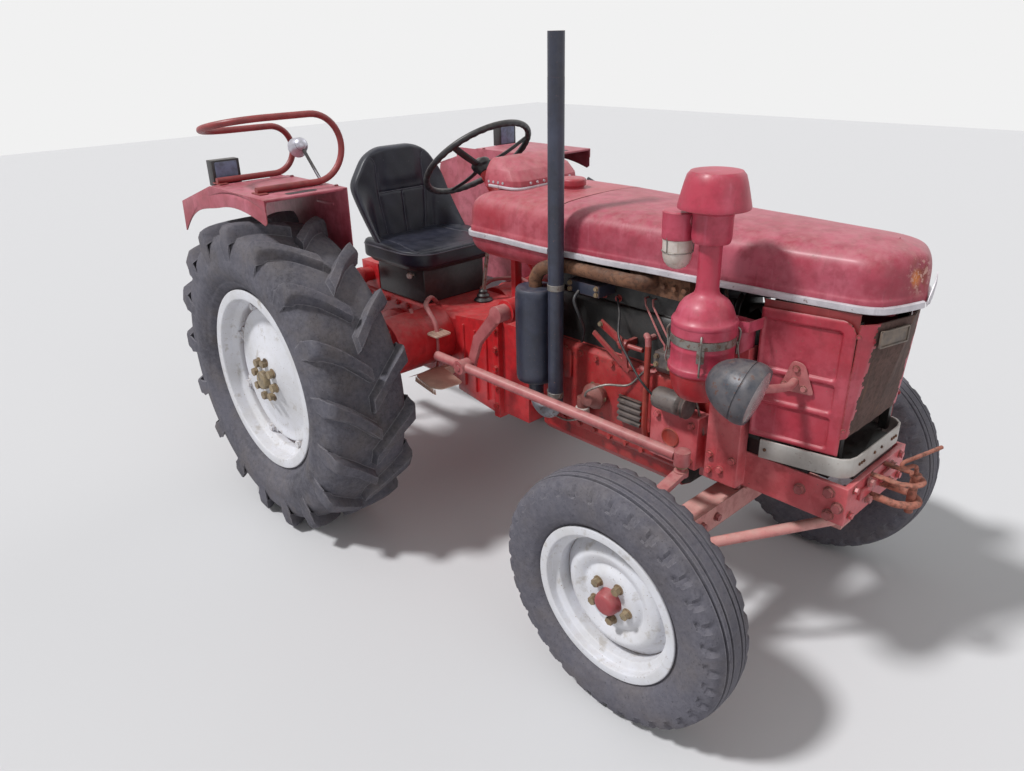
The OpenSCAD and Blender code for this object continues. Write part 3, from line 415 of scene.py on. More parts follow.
class Finish:
    """One material: its colour is built up coat by coat, each through a mask. Colours run from 0 to 255."""

    def __init__(self, name, colour, roughness=0.5, metallic=0.0, coat=0.0, specular=0.5):
        self.mat = bpy.data.materials.new(name)
        self.mat.use_nodes = True
        self.tree = self.mat.node_tree
        self.tree.nodes.clear()
        self.shader = node(self.tree, "ShaderNodeBsdfPrincipled")
        wire(self.tree, (self.shader.outputs[0], node(self.tree, "ShaderNodeOutputMaterial").inputs[0]))
        for label, value in (("Specular IOR Level", specular), ("Coat Weight", coat), ("Coat Roughness", 0.25)):
            self.shader.inputs[label].default_value = value
        self.colour, self.rough, self.metal = self.tone(*colour), roughness, metallic

    @staticmethod
    def tone(*levels):
        return tuple(c / 12.92 if c <= 0.04045 else ((c + 0.055) / 1.055) ** 2.4
                     for c in (v / 255 for v in levels)) + (1.0,)

    def blend(self, below, above, mask, kind):
        m = node(self.tree, "ShaderNodeMix", data_type=kind)
        a, b, out = (6, 7, 2) if kind == "RGBA" else (2, 3, 0)
        for v, k in ((mask, 0), (below, a), (above, b)):
            feed(self.tree, v, m.inputs[k])
        return m.outputs[out]

    def mask(self, group, *values):
        """A mask from one of the groups, its inputs in their order."""
        n = node(self.tree, "ShaderNodeGroup", node_tree=groups[group])
        for v, socket in zip(values, n.inputs):
            feed(self.tree, v, socket)
        return n.outputs[0]

    def times(self, a, b):
        return calc(self.tree, "MULTIPLY", a, b, True)

    def coat(self, mask, colour, strength=1.0, roughness=None, metallic=None):
        """Lays a colour over what is there, where the mask is white."""
        m = self.times(mask, strength)
        self.colour = self.blend(self.colour, self.tone(*colour), m, "RGBA")
        if roughness is not None:
            self.rough = self.blend(self.rough, roughness, m, "FLOAT")
        if metallic is not None:
            self.metal = self.blend(self.metal, metallic, m, "FLOAT")

    def patches(self, scale, coverage, softness, shift, *paint):
        self.coat(self.mask("Patches", scale, coverage, softness, shift), *paint)

    def runs(self, scale, coverage, *paint):
        self.coat(self.mask("Runs", scale, coverage), *paint)

    def edge(self, radius, amount, grain, *paint):
        self.coat(self.mask("Edge", radius, amount, grain), *paint)

    def dust(self, amount, scale, *paint):
        self.coat(self.mask("Dust", amount, scale), *paint)

    def done(self, scale, lumps, mix, depth, sunk=None, sunk_depth=0.5):
        """Gives the surface its grain and hands over the material."""
        t, height = self.tree, self.mask("Grain", scale, lumps, mix)
        if sunk is not None:
            height = calc(t, "SUBTRACT", height, calc(t, "MULTIPLY", sunk, sunk_depth))
        b = node(t, "ShaderNodeBump")
        b.inputs["Distance"].default_value = depth
        b.inputs["Strength"].default_value = 1.0
        wire(t, (height, b.inputs["Height"]), (b.outputs[0], self.shader.inputs["Normal"]))
        for value, label in ((self.colour, "Base Color"), (self.rough, "Roughness"), (self.metal, "Metallic")):
            feed(t, value, self.shader.inputs[label])
        return self.mat


RUST, OLD_RUST = (96, 56, 38), (70, 46, 38)
PRIMER, ROAD_DUST = (128, 92, 84), (172, 160, 148)


def faded_paint(name, colour, bleached, deep, bleach, dust, chips, shift, extra=None):
    """Old enamel: bleached in clouds and where it faces up, chipped along edges, with rust under it."""
    gloss = 0.42
    f = Finish(name, colour, gloss, coat=0.12)
    f.patches(5.0, bleach, 0.16, shift, bleached, 0.55, gloss + 0.16)
    f.patches(26.0, 0.42, 0.1, shift + 3.0, deep, 0.5)
    f.runs(55.0, 0.35, bleached, 0.28)
    f.runs(90.0, 0.22, OLD_RUST, 0.25)
    f.dust(dust * 2.2, 22.0, bleached, 0.8, gloss + 0.22)
    if extra:
        extra(f)
    specks = f.mask("Patches", 160.0, 0.06 + 0.1 * chips, 0.02, shift + 7.0)
    worn = f.mask("Edge", 0.004, chips, 120.0)
    bare = calc(f.tree, "MAXIMUM", worn, specks, True)
    f.coat(bare, PRIMER, 0.8, 0.7)
    f.coat(f.times(worn, f.mask("Patches", 70.0, 0.55, 0.05, shift + 9.0)), RUST, 0.9, 0.85)
    f.dust(dust, 40.0, ROAD_DUST, 0.6, 0.85)
    return f.done(420.0, 34.0, 0.6, 0.0004, bare, 0.35)


# ---------------------------------------------------------------- finishes

def tyre_rubber(name, colour, shift, mud):
    f = Finish(name, colour, 0.75, specular=0.25)
    f.patches(4.0, 0.62, 0.3, shift, (98, 97, 107), 0.85, 0.85)
    f.patches(60.0, 0.45, 0.2, shift + 2, (118, 116, 124), 0.4, 0.9)
    f.patches(9.0, 0.3, 0.2, shift + 5, (116, 106, 96), mud, 0.95)
    f.dust(0.5, 60.0, (126, 122, 124), 0.6, 0.92)
    f.edge(0.007, 0.66, 60.0, (136, 134, 140), 0.7, 0.9)
    f.patches(210.0, 0.2, 0.04, shift, (30, 29, 32), 0.5)
    return f.done(320.0, 55.0, 0.5, 0.0012, f.mask("Patches", 130.0, 0.3, 0.06, shift + 8))


def rim_finish(name, shift):
    f = Finish(name, (214, 215, 222), 0.5, specular=0.4)
    f.patches(9.0, 0.5, 0.2, shift, (196, 195, 196), 0.7, 0.62)
    f.runs(60.0, 0.4, (214, 213, 214), 0.4)
    f.patches(150.0, 0.14, 0.03, shift + 2, (128, 106, 88), 0.7, 0.8)
    f.edge(0.005, 0.5, 80.0, (150, 122, 96), 0.7, 0.8)
    f.patches(17.0, 0.22, 0.06, shift + 4, (150, 140, 124), 0.5, 0.85)
    f.dust(0.35, 50.0, ROAD_DUST, 0.6, 0.9)
    return f.done(380.0, 40.0, 0.6, 0.0004)


def worn_steel(name, colour, stain, rust=0.25, roughness=0.42, metallic=0.75, shift=0.0):
    f = Finish(name, colour, roughness, metallic)
    f.patches(20.0, 0.45, 0.15, shift, stain, 0.6, roughness + 0.15)
    f.runs(120.0, 0.3, stain, 0.35)
    f.patches(75.0, rust, 0.05, shift + 3, RUST, 0.75, 0.85, 0.1)
    f.dust(0.3, 60.0, ROAD_DUST, 0.55, 0.85, 0.0)
    return f.done(600.0, 25.0, 0.7, 0.0005, f.mask("Patches", 45.0, 0.3, 0.2, shift + 6))


def rusted(name, colour, light, shift=0.0):
    f = Finish(name, colour, 0.82, specular=0.3)
    f.patches(12.0, 0.5, 0.14, shift, light, 0.7)
    f.patches(90.0, 0.4, 0.08, shift + 2, (52, 40, 36), 0.55)
    f.runs(70.0, 0.35, (120, 88, 70), 0.4)
    f.dust(0.3, 60.0, ROAD_DUST, 0.5)
    return f.done(260.0, 60.0, 0.4, 0.0009)


def greasy_iron(name, colour, light, shift=0.0, grease=0.5, lift=1.0):
    """Grease with dust in it over paint or bare iron; lift lightens what lies on top."""
    f = Finish(name, colour, coat=0.1)
    f.patches(14.0, 0.5, 0.14, shift, light, 0.6, 0.62)
    f.patches(22.0, grease * 0.7, 0.1, shift + 3, (26, 22, 22), 0.75, 0.3)
    f.edge(0.004, 0.5, 80.0, (126, 92, 84), 0.6 * lift, 0.6)
    f.patches(120.0, 0.2, 0.04, shift + 6, (92, 70, 54), 0.6 * lift, 0.8)
    f.dust(0.45, 35.0, (134, 118, 104), 0.6 * lift, 0.9)
    return f.done(240.0, 70.0, 0.4, 0.0009)


def black_vinyl():
    f = Finish("black vinyl", (18, 20, 32), 0.38, specular=0.45)
    f.patches(8.0, 0.4, 0.2, 0.0, (30, 33, 50), 0.7, 0.45)
    f.edge(0.006, 0.55, 120.0, (96, 98, 112), 0.6, 0.55)
    f.patches(180.0, 0.1, 0.03, 0.0, (108, 108, 116), 0.6, 0.7)
    f.dust(0.22, 24.0, (110, 110, 122), 0.5, 0.7)
    return f.done(900.0, 220.0, 0.5, 0.0004)


def plastic(name, colour, dust=0.3):
    f = Finish(name, colour, 0.4)
    f.patches(25.0, 0.4, 0.15, 0.0, (52, 52, 58), 0.6, 0.5)
    f.edge(0.003, 0.5, 150.0, (104, 102, 104), 0.5, 0.6)
    f.dust(dust, 60.0, ROAD_DUST, 0.5, 0.85)
    return f.done(700.0, 90.0, 0.5, 0.0004)


def milky_jar():
    f = Finish("milky jar", (206, 196, 190), 0.32)
    f.patches(40.0, 0.5, 0.15, 0.0, (176, 160, 148), 0.6, 0.45)
    f.runs(160.0, 0.4, (142, 120, 104), 0.5, 0.6)
    f.shader.inputs["Subsurface Weight"].default_value = 0.15
    f.shader.inputs["Subsurface Radius"].default_value = (0.02, 0.015, 0.01)
    return f.done(500.0, 60.0, 0.5, 0.0003)


def lamp_glass():
    f = Finish("lamp glass", (140, 128, 130), 0.16, specular=0.6)
    f.patches(60.0, 0.35, 0.1, 0.0, (118, 98, 98), 0.6, 0.4)
    f.dust(0.5, 80.0, ROAD_DUST, 0.6, 0.7)
    return f.done(120.0, 20.0, 0.3, 0.0006)


def nose_damage(f):
    """Orange filler and bare metal where the tip of the nose was knocked."""
    tip, filler = (f.mask("Near", tuple(at(*place)), reach)
                   for place, reach in (((1896, -24, 1172), 0.062), ((1888, -38, 1164), 0.028)))
    for where, scale, coverage, softness, shift, *paint in (
            (tip, 38.0, 0.52, 0.03, 11.0, (132, 60, 50), 0.9, 0.8), (filler, 60.0, 0.7, 0.04, 2.0, (206, 112, 22)),
            (tip, 70.0, 0.4, 0.03, 5.0, (206, 160, 150), 0.9)):
        f.coat(f.times(where, f.mask("Patches", scale, coverage, softness, shift)), *paint)


# name, paint, bleached, deep, then how much is bleached, dusty and chipped, and the shift of the pattern
red_bonnet = faded_paint("bleached red", (150, 32, 56), (192, 104, 122), (126, 22, 44), 0.42, 0.32, 0.4, 0.0,
                         nose_damage)
red_tank = faded_paint("tank red", (160, 40, 54), (194, 108, 122), (136, 28, 44), 0.46, 0.32, 0.45, 4.0)
red_sheet = faded_paint("sheet red", (146, 36, 54), (196, 112, 130), (120, 24, 38), 0.5, 0.4, 0.5, 8.0)
red_casting = faded_paint("casting red", (190, 20, 30), (200, 66, 70), (144, 16, 24), 0.28, 0.3, 0.45, 12.0)
red_rail = faded_paint("rail red", (128, 34, 38), (160, 70, 70), (100, 26, 28), 0.4, 0.2, 0.5, 15.0)
pink_linkage = faded_paint("linkage pink", (164, 78, 84), (188, 122, 120), (138, 54, 60), 0.55, 0.5, 0.7, 19.0)
pink_axle = faded_paint("axle pink", (196, 118, 116), (212, 160, 152), (164, 84, 84), 0.6, 0.6, 0.7, 23.0)
stack_paint = faded_paint("stack paint", (40, 44, 60), (64, 70, 90), (28, 30, 42), 0.35, 0.2, 0.35, 27.0)
cap_red = faded_paint("hub cap red", (144, 40, 50), (172, 92, 94), (116, 28, 38), 0.5, 0.3, 0.8, 31.0)
filler_red = faded_paint("filler red", (158, 50, 40), (176, 84, 70), (124, 36, 30), 0.4, 0.3, 0.5, 33.0)
lever_red = faded_paint("lever red", (142, 30, 34), (172, 80, 76), (94, 24, 26), 0.4, 0.3, 0.7, 35.0)
cleaner_red = faded_paint("cleaner red", (172, 44, 68), (198, 98, 122), (142, 28, 50), 0.4, 0.18, 0.4, 37.0)
bowl_red = faded_paint("bowl red", (160, 18, 28), (184, 60, 66), (126, 16, 24), 0.3, 0.1, 0.3, 39.0)
red_panel = faded_paint("panel red", (166, 36, 54), (190, 92, 108), (138, 24, 42), 0.5, 0.25, 0.6, 41.0)
red_frame = faded_paint("frame red", (192, 72, 80), (210, 122, 124), (160, 50, 56), 0.5, 0.3, 0.6, 43.0)
# name, iron, light parts, shift, grease, lift
engine_iron = greasy_iron("engine iron", (158, 26, 32), (180, 66, 62), 0.0, 0.25)
aux_iron = greasy_iron("fitting iron", (74, 66, 66), (122, 112, 108), 5.0)
grease_nuts = greasy_iron("greased nuts", (124, 106, 78), (158, 142, 112), 9.0, 0.45)
# iron made near black as painted shade under the bonnet: upper engine block, radiator, fan shroud and fan
shade_black_iron = greasy_iron("iron black as painted shade", (12, 11, 12), (22, 18, 20), 13.0, 0.6, 0.25)
pump_red = greasy_iron("pump red", (124, 66, 62), (160, 104, 98), 15.0, 0.3)
# name, steel, stain, rust, roughness, metal, shift
elbow_paint = worn_steel("elbow steel", (150, 152, 160), (120, 120, 126), 0.3, 0.45, 0.5)
trim_metal = worn_steel("trim metal", (206, 202, 208), (168, 164, 170), 0.12, 0.42, 0.35)
band_metal = worn_steel("band metal", (184, 180, 176), (164, 156, 150), 0.08, 0.5, 0.3, 4.0)
bare_steel = worn_steel("bare steel", (140, 136, 132), (104, 98, 92), 0.35, 0.4, 0.7, 7.0)
step_steel = worn_steel("step steel", (206, 178, 160), (180, 148, 132), 0.1, 0.7, 0.0, 9.0)
lamp_metal = worn_steel("lamp metal", (58, 61, 70), (104, 99, 102), 0.2, 0.38, 0.2, 12.0)
bright_steel = worn_steel("bright steel", (196, 196, 206), (150, 150, 160), 0.1, 0.3, 0.8, 14.0)
pipe_rust = rusted("pipe rust", (96, 66, 52), (132, 92, 68))
front_rust = rusted("front sheet rust", (74, 54, 50), (98, 74, 68), 3.0)
loop_rust = rusted("loop rust", (150, 88, 72), (176, 116, 100), 9.0)
plate_paint = plastic("old plate", (120, 104, 90), 0.5)
wheel_plastic = plastic("wheel rim black", (24, 24, 28))
box_plastic = plastic("box black", (34, 33, 36), 0.5)
piping_vinyl = plastic("piping", (62, 64, 80), 0.2)
dial_paint = plastic("dial", (26, 26, 28), 0.15)
red_lens = plastic("red lens", (150, 26, 22), 0.3)
amber_lens = plastic("amber lens", (206, 116, 24), 0.3)
blue_grey = plastic("blue grey face", (112, 124, 152), 0.4)
seat_vinyl, jar_plastic, glass = black_vinyl(), milky_jar(), lamp_glass()
rear_rubber = tyre_rubber("rear rubber", (56, 55, 62), 0.0, 0.35)
front_rubber = tyre_rubber("front rubber", (78, 76, 84), 6.0, 0.3)
rear_rim_paint = rim_finish("rear rim grey", 0.0)
front_rim_paint = rim_finish("front rim grey", 5.0)


# ---------------------------------------------------------------- repeats

def form_tree(name, sockets):
    """A geometry tree with one form going in and one coming out, besides the sockets given."""
    t = bpy.data.node_groups.new(name, "GeometryNodeTree")
    t.is_modifier = True
    for label, kind, value in [("Form", "Geometry", None)] + sockets + [("Finish", "Material", None)]:
        s = t.interface.new_socket(label, in_out="INPUT", socket_type="NodeSocket" + kind)
        if value is not None:
            s.default_value = value
    t.interface.new_socket("Form", in_out="OUTPUT", socket_type="NodeSocketGeometry")
    return t, node(t, "NodeGroupInput").outputs, node(t, "NodeGroupOutput").inputs[0]


def finish_tree(t, form, i, out):
    """The instances made real, in the finish that goes in."""
    real, paint = node(t, "GeometryNodeRealizeInstances"), node(t, "GeometryNodeSetMaterial")
    wire(t, (form, real.inputs[0]), (real.outputs[0], paint.inputs[0]), (i["Finish"], paint.inputs["Material"]),
         (paint.outputs[0], out))
    return t


def around_axle_tree():
    """Repeats a form round the Y axis, one turn in equal steps."""
    t, i, out = form_tree("Round The Axle", [("Count", "Int", 17), ("Start Angle", "Float", 0.0)])
    form, points = node(t, "GeometryNodeGeometryToInstance"), node(t, "GeometryNodePoints")
    put, spin = node(t, "GeometryNodeInstanceOnPoints"), node(t, "ShaderNodeCombineXYZ")
    angle = calc(t, "MULTIPLY", node(t, "GeometryNodeInputIndex").outputs[0], calc(t, "DIVIDE", 2 * pi, i["Count"]))
    wire(t, (i["Form"], form.inputs[0]), (i["Count"], points.inputs["Count"]),
         (calc(t, "ADD", angle, i["Start Angle"]), spin.inputs["Y"]), (points.outputs[0], put.inputs["Points"]),
         (form.outputs[0], put.inputs["Instance"]), (spin.outputs[0], put.inputs["Rotation"]))
    return finish_tree(t, put.outputs[0], i, out)


def bolt_tree():
    """A hexagon head on a washer at each point, along the direction the point carries."""
    t, i, out = form_tree("Hexagon Bolts", [("Across Flats", "Float", 0.017), ("Head Height", "Float", 0.009),
                                            ("Washer Radius", "Float", 0.013), ("Seed", "Int", 1)])
    head, washer = node(t, "GeometryNodeMeshCylinder"), node(t, "GeometryNodeMeshCylinder")
    head.inputs["Vertices"].default_value = 6
    washer.inputs["Vertices"].default_value = 14
    washer.inputs["Depth"].default_value = 0.003
    raised, lift = node(t, "GeometryNodeTransform"), node(t, "ShaderNodeCombineXYZ")
    join, points = node(t, "GeometryNodeJoinGeometry"), node(t, "GeometryNodeMeshToPoints")
    put, turned = node(t, "GeometryNodeInstanceOnPoints"), node(t, "GeometryNodeRotateInstances")
    way = node(t, "GeometryNodeInputNamedAttribute", data_type="FLOAT_VECTOR")
    way.inputs["Name"].default_value = "way"
    align = node(t, "FunctionNodeAlignRotationToVector", axis="Z")
    chance, spin = node(t, "FunctionNodeRandomValue"), node(t, "ShaderNodeCombineXYZ")
    chance.inputs[3].default_value = 6.28
    wire(t, (calc(t, "MULTIPLY", i["Across Flats"], 0.577), head.inputs["Radius"]),
         (i["Head Height"], head.inputs["Depth"]), (i["Washer Radius"], washer.inputs["Radius"]),
         (calc(t, "MULTIPLY", i["Head Height"], 0.5), lift.inputs["Z"]), (head.outputs[0], raised.inputs[0]),
         (lift.outputs[0], raised.inputs["Translation"]), (washer.outputs[0], join.inputs[0]),
         (raised.outputs[0], join.inputs[0]), (i["Form"], points.inputs[0]), (points.outputs[0], put.inputs["Points"]),
         (join.outputs[0], put.inputs["Instance"]), (way.outputs[0], align.inputs["Vector"]),
         (align.outputs[0], put.inputs["Rotation"]), (i["Seed"], chance.inputs["Seed"]),
         (chance.outputs[1], spin.inputs["Z"]), (put.outputs[0], turned.inputs[0]),
         (spin.outputs[0], turned.inputs["Rotation"]))
    return finish_tree(t, turned.outputs[0], i, out)


axle_repeat, hexagon_bolts = around_axle_tree(), bolt_tree()


def with_tree(me, tree, **values):
    """Runs a geometry tree over a mesh, its inputs set by their socket's identifier."""
    ob = loose(me)
    m = ob.modifiers.new("form", "NODES")
    m.node_group = tree
    ids = {s.name: s.identifier for s in tree.interface.items_tree if s.item_type == "SOCKET" and s.in_out == "INPUT"}
    for k, v in values.items():
        m[ids[k.replace("_", " ")]] = v
    return baked(ob)


def bolts(name, places, across, height, paint, seed, body="chassis"):
    """Bolt heads at (place, direction) pairs, one piece for a body, their turn drawn from the seed."""
    me = mesh_of([p for p, _ in places], [])
    a = me.attributes.new("way", "FLOAT_VECTOR", "POINT")
    for k, (_, w) in enumerate(places):
        a.data[k].vector = Vector(w).normalized()
    me = with_tree(me, hexagon_bolts, Across_Flats=across / 1000, Head_Height=height / 1000,
                   Washer_Radius=across * 0.00072, Seed=seed, Finish=paint)
    piece(name, me, None, angle=25, body=body)


def round_axle(me, count, start, paint):
    return with_tree(me, axle_repeat, Count=count, Start_Angle=start, Finish=paint)


# ---------------------------------------------------------------- wheels

def wheel_set(axle, hub, camber, tyre, tyre_angle, rubber, rim, rim_paint, cap_name, cap, cap_paint, rings):
    """Both wheels of an axle; a ring of nuts has its name, count, first angle, radius, depth, size, paint and seed."""
    for s in BOTH:
        side = SIDE_NAME[s]
        body = f"{axle}_wheel_{side[0]}"
        place = spot(*hub) @ turn(camber, "X")
        if s > 0:
            place = Matrix.Scale(-1, 4, (0, 1, 0)) @ place
        for name, me, paint, slot, stands_for, angle in (
                (f"{axle}_tyre_{side}_dressed", tyre, rubber, "tyre", f"{axle}_tyre_{side}", tyre_angle),
                (f"{axle}_rim_{side}_dressed", rim, rim_paint, "rim_paint", f"{axle}_rim_{side}", 35),
                (f"{axle}_{cap_name}_{side}", cap, cap_paint, "rim_paint", None, 35)):
            piece(name, moved(me.copy(), place), paint, stands_for, angle, body)
        for name, count, first, r, y, across, height, paint, seed in rings:
            nuts = [(place @ Vector((r * sin(a), y, r * cos(a))), place.to_3x3() @ Vector((0, -1, 0)))
                    for a in (2 * pi * k / count + first for k in range(count))]
            bolts(f"{axle}_{name}_{side}", nuts, across, height, paint, seed, body)


def on_axle(*meshes):
    """Forms of revolution turned from their own Z to the wheel's axle."""
    return moved(joined(*meshes), turn(-90, "X"))


def mirrored(half):
    return half + [(r, -y) for r, y in half[-2::-1]]


def tread_line(y):
    return 536 - 26 * (abs(y) / 161) ** 3


def rear_lug(side):
    """One bar of the tread: from the middle outwards and back at about 45 degrees, ending on the shoulder."""
    stations = [(-0.05, -0.7, 2.2, 0.97), (0.0, 0.0, 2.3, 1.0), (0.2, 3.3, 2.2, 1.0), (0.45, 7.4, 2.1, 1.0),
                (0.66, 10.0, 2.2, 1.0), (0.82, 11.7, 2.4, 1.0), (0.92, 12.6, 2.6, 0.98), (0.975, 13.1, 2.7, 0.78),
                (0.997, 13.4, 2.7, 0.25), (0.997, 13.6, 2.7, -0.55), (0.97, 13.5, 2.6, -1.4)]
    verts = []
    for share, back, half, height in stations:
        y = side * share * 161
        low = tread_line(y) - 8
        rise = tread_line(y) + (32 + 536 - tread_line(y)) * height - 12 * abs(share) ** 6
        flank = [(half + 1.1, low), (half + 0.55, (low + rise) / 2), (half + 0.1, rise - 4), (half - 0.35, rise)]
        for da, r in [(-d, r) for d, r in flank] + flank[::-1]:
            a = radians(da - back)
            verts.append((r * sin(a) / 1000, y / 1000, r * cos(a) / 1000))
    return ringed(verts, len(stations), 8)


def rear_wheels():
    carcass = [(305.3, 116.5), (338, 116.5), (345, 122), (352, 132.5), (362, 140), (368, 140.5), (374, 145.5),
               (392, 155.5), (412, 160.5), (430, 161), (436, 158.5), (452, 158), (470, 155.5), (488, 151), (500, 147),
               (509, 140)] + [(tread_line(y), y) for y in (130, 115, 95, 70, 45, 20, 0)]
    tyre = joined(on_axle(lathe(mirrored(carcass), 112)), *[
        round_axle(rear_lug(side), 17, start, rear_rubber) for side, start in ((1, 0.0), (-1, pi / 17))])
    b, f, e = 305, 333, 125
    barrel = [(b, 8 - e), (f, 8 - e), (f, -e), (b - 8, -e), (b - 8, -80), (b - 30, -66), (b - 30, 66), (b - 8, 80),
              (b - 8, e), (f, e), (f, e - 8), (b, e - 8), (b, 76), (b - 22, 62), (b - 22, -62), (b, -76)]
    disc = [(0, -102, 0), (60, -102), (80, -98), (100, -86), (150, -70), (190, -61), (215, -56), (245, -60), (252, -58),
            (252, -51), (244, -50), (212, -47), (188, -52), (98, -77), (60, -84), (0, -84, 0)]
    hub = [(0, -123, 0), (30, -123), (34, -116), (34, -100), (0, -100, 0)]
    bracket = [(-34, 222), (-30, 262), (-24, 276.5), (24, 276.5), (30, 262), (34, 222)]
    tab = slab(bracket, 10, Matrix.Translation((0, -0.050, 0)) @ turn(90, "X"), 2)
    tabs = round_axle(tab, 8, pi / 8, rear_rim_paint)
    stub = lathe([(0, -86), (35, -86), (35, 252), (0, 252)], 32)
    rim = joined(on_axle(lathe(barrel, 96, 6), lathe(disc, 96, 8), stub), tabs)
    wheel_set("rear", (0, -647, 568), 0, tyre, 50, rear_rubber, rim, rear_rim_paint, "hub", on_axle(lathe(hub, 40, 4)),
              grease_nuts, [("hub_nuts", 8, 0.2, 0.066, -0.0995, 27, 18, grease_nuts, 3),
                            ("rim_bolts", 8, pi / 8, 0.262, -0.0562, 24, 14, rear_rim_paint, 4)])


def front_tyre():
    """Ribs round the middle, notched shoulders and a smooth side."""
    outline = mirrored([
        (203.3, 53.7), (226, 53.7), (232, 60), (238, 68), (246, 73.5), (252, 74.5), (262, 79), (276, 81.2), (290, 81.5),
        (300, 80.8), (312, 79.2), (321.5, 77.5), (331, 74.5), (338, 70), (342.5, 65), (345.5, 58), (347.5, 52),
        (349, 45), (350, 40), (341, 38.5), (341, 33.5), (352, 32), (353, 26.5), (353.6, 21.5), (344, 20), (344, 15.5),
        (353.8, 14), (354, 0)])
    steps, verts = 216, []
    for k in range(steps):
        a = 2 * pi * k / steps
        for r, y in outline:
            notch = 0.0
            if abs(y) > 40.5 and r > 318 and (k + (3 if y > 0 else 0) + int(abs(y) * 0.04)) % 6 < 2:
                notch = 8.5 * min(1.0, (abs(y) - 40) / 30)
            dy = -copysign(notch * 0.4, y) if r < 343 else 0.0
            verts.append(((r - notch) * cos(a) / 1000, (r - notch) * sin(a) / 1000, (y + dy) / 1000))
    return on_axle(outward(mesh_of(verts, grid_faces(steps, len(outline), True, True))))


def front_wheels():
    b, f, e = 203, 223, 62
    barrel = [(f, -e), (f, 8 - e), (b, 8 - e), (b, -36), (b - 20, -28), (b - 20, 28), (b, 36), (b, e - 8), (f, e - 8),
              (f, e), (b - 6, e), (b - 6, 40), (b - 26, 32), (b - 26, -32), (b - 6, -40), (b - 6, -e)]
    disc = [(26, -29), (70, -30), (82, -26), (96, -14), (110, -24), (128, -30), (146, -22), (158, -6), (177.2, 6),
            (177.2, 14), (154, 3), (142, -13), (128, -21), (112, -15), (96, -4), (66, -20), (46, -20), (42, 60),
            (20.1, 60), (20.1, -20)]
    cap = [(0, -62, 0), (22, -62), (30, -58), (34, -48), (35, -30), (38, -28), (38, -24.5), (0, -24.5, 0)]
    wheel_set("front", (1490, -563, 354.666), 3, front_tyre(), 30, front_rubber,
              on_axle(lathe(barrel, 96, 4), lathe(disc, 96, 6)), front_rim_paint, "cap", on_axle(lathe(cap, 48, 3)),
              cap_red, [("hub_nuts", 5, 0.5, 0.057, -0.0305, 21, 17, grease_nuts, 5)])


# ---------------------------------------------------------------- bonnet and tank

SEAM_X, CORNER_X, NOSE_X = 930, 1842, 1902      # along the outline: seam to the tank, front corner, tip
SEAM_HALF, CORNER_HALF = 238, 146               # half widths there
BONNET_Z = 1102
# inset from the outline and height above the lower edge: pressed step low down, then the rounded shoulder
SIDE = [(0, 0), (0, 10), (0, 17), (2.6, 21), (3.2, 26), (3.4, 45), (3.8, 62), (5.5, 76), (8.5, 88), (13, 98), (20, 107),
        (30, 115), (44, 121.5), (60, 126), (78, 129.5)]


def bonnet_half(x):
    return SEAM_HALF + (CORNER_HALF - SEAM_HALF) * (x - SEAM_X) / (CORNER_X - SEAM_X)


def bonnet_line(inset):
    """The right half of the bonnet's outline from the back to the nose, with its corner rounded."""
    w, c, nose = CORNER_HALF - inset, CORNER_X - inset * 0.5, NOSE_X - inset * 0.9
    pts = [(x, inset - bonnet_half(x)) for x in (SEAM_X + (c - 60 - SEAM_X) * k / 14 for k in range(15))]
    a, b, d = Vector(pts[-1]), Vector((c + 2, -(w + 1))), Vector((c + 20, -(w - 40)))
    for t in (k / 8 for k in range(1, 9)):
        pts.append(tuple(a * (1 - t) ** 2 + b * (2 * t * (1 - t)) + d * t * t))
    for t in (k / 7 for k in range(1, 8)):
        pts.append(((c + 20) + (nose - c - 20) * (t + 0.10 * sin(pi * t)), -(w - 40) * (1 - t)))
    return pts


def bonnet_rows():
    """Levels of the bonnet from its lower edge over the shoulder to the middle of its crowned top."""
    levels = [(bonnet_line(inset), BONNET_Z + h) for inset, h in SIDE]
    rim = levels[-1][0]
    for s in (0.86, 0.7, 0.5, 0.28, 0.08):
        levels.append(([(x - (1 - s) * 22 * max(0.0, (x - 1500) / 400) ** 2, y * s) for x, y in rim],
                       BONNET_Z + SIDE[-1][1] + 6 * (1 - s * s)))
    return [[(x, y, z) for x, y in half] + [(x, -y, z) for x, y in half[-2::-1]] for half, z in levels]


def ripple(x, y, z, size):
    """Slight waves of old hand-beaten sheet, in millimetres."""
    return size * (sin(x * 0.011 + y * 0.02) * cos(z * 0.02 + x * 0.005) + 0.5 * sin(x * 0.031 - y * 0.017))


def bonnet_piece():
    rows, verts = bonnet_rows(), []
    n = len(rows[0])
    for i, row in enumerate(rows):
        for x, y, z in row:
            w = ripple(x, y, z, 0.9) if i > 2 else 0.0
            knocked = 13 * max(0.0, 1 - hypot((x - 1888) / 34, (y + 18) / 46, (z - 1172) / 44))
            verts.append(at(x - knocked, y - (w if y < 0 else -w), z + w * 0.5))
    top = (len(rows) - 1) * n
    crown = [(top + j, top + j + 1, top + n - 2 - j, top + n - 1 - j) for j in range((n - 1) // 2)]
    me = outward(mesh_of(verts, grid_faces(len(rows), n) + crown))
    me = worked(me, ("SUBSURF", {"levels": 1, "render_levels": 1}),
                ("SOLIDIFY", {"thickness": 0.003, "offset": -1.0}))
    ears = kept("bonnet", lambda x, y, z: 1700 < x < 1872 and abs(y) < 80 and 1060 < z < 1222, True)
    piece("bonnet_dressed", joined(me, ears), red_bonnet, "bonnet", 40, "bonnet_lid")


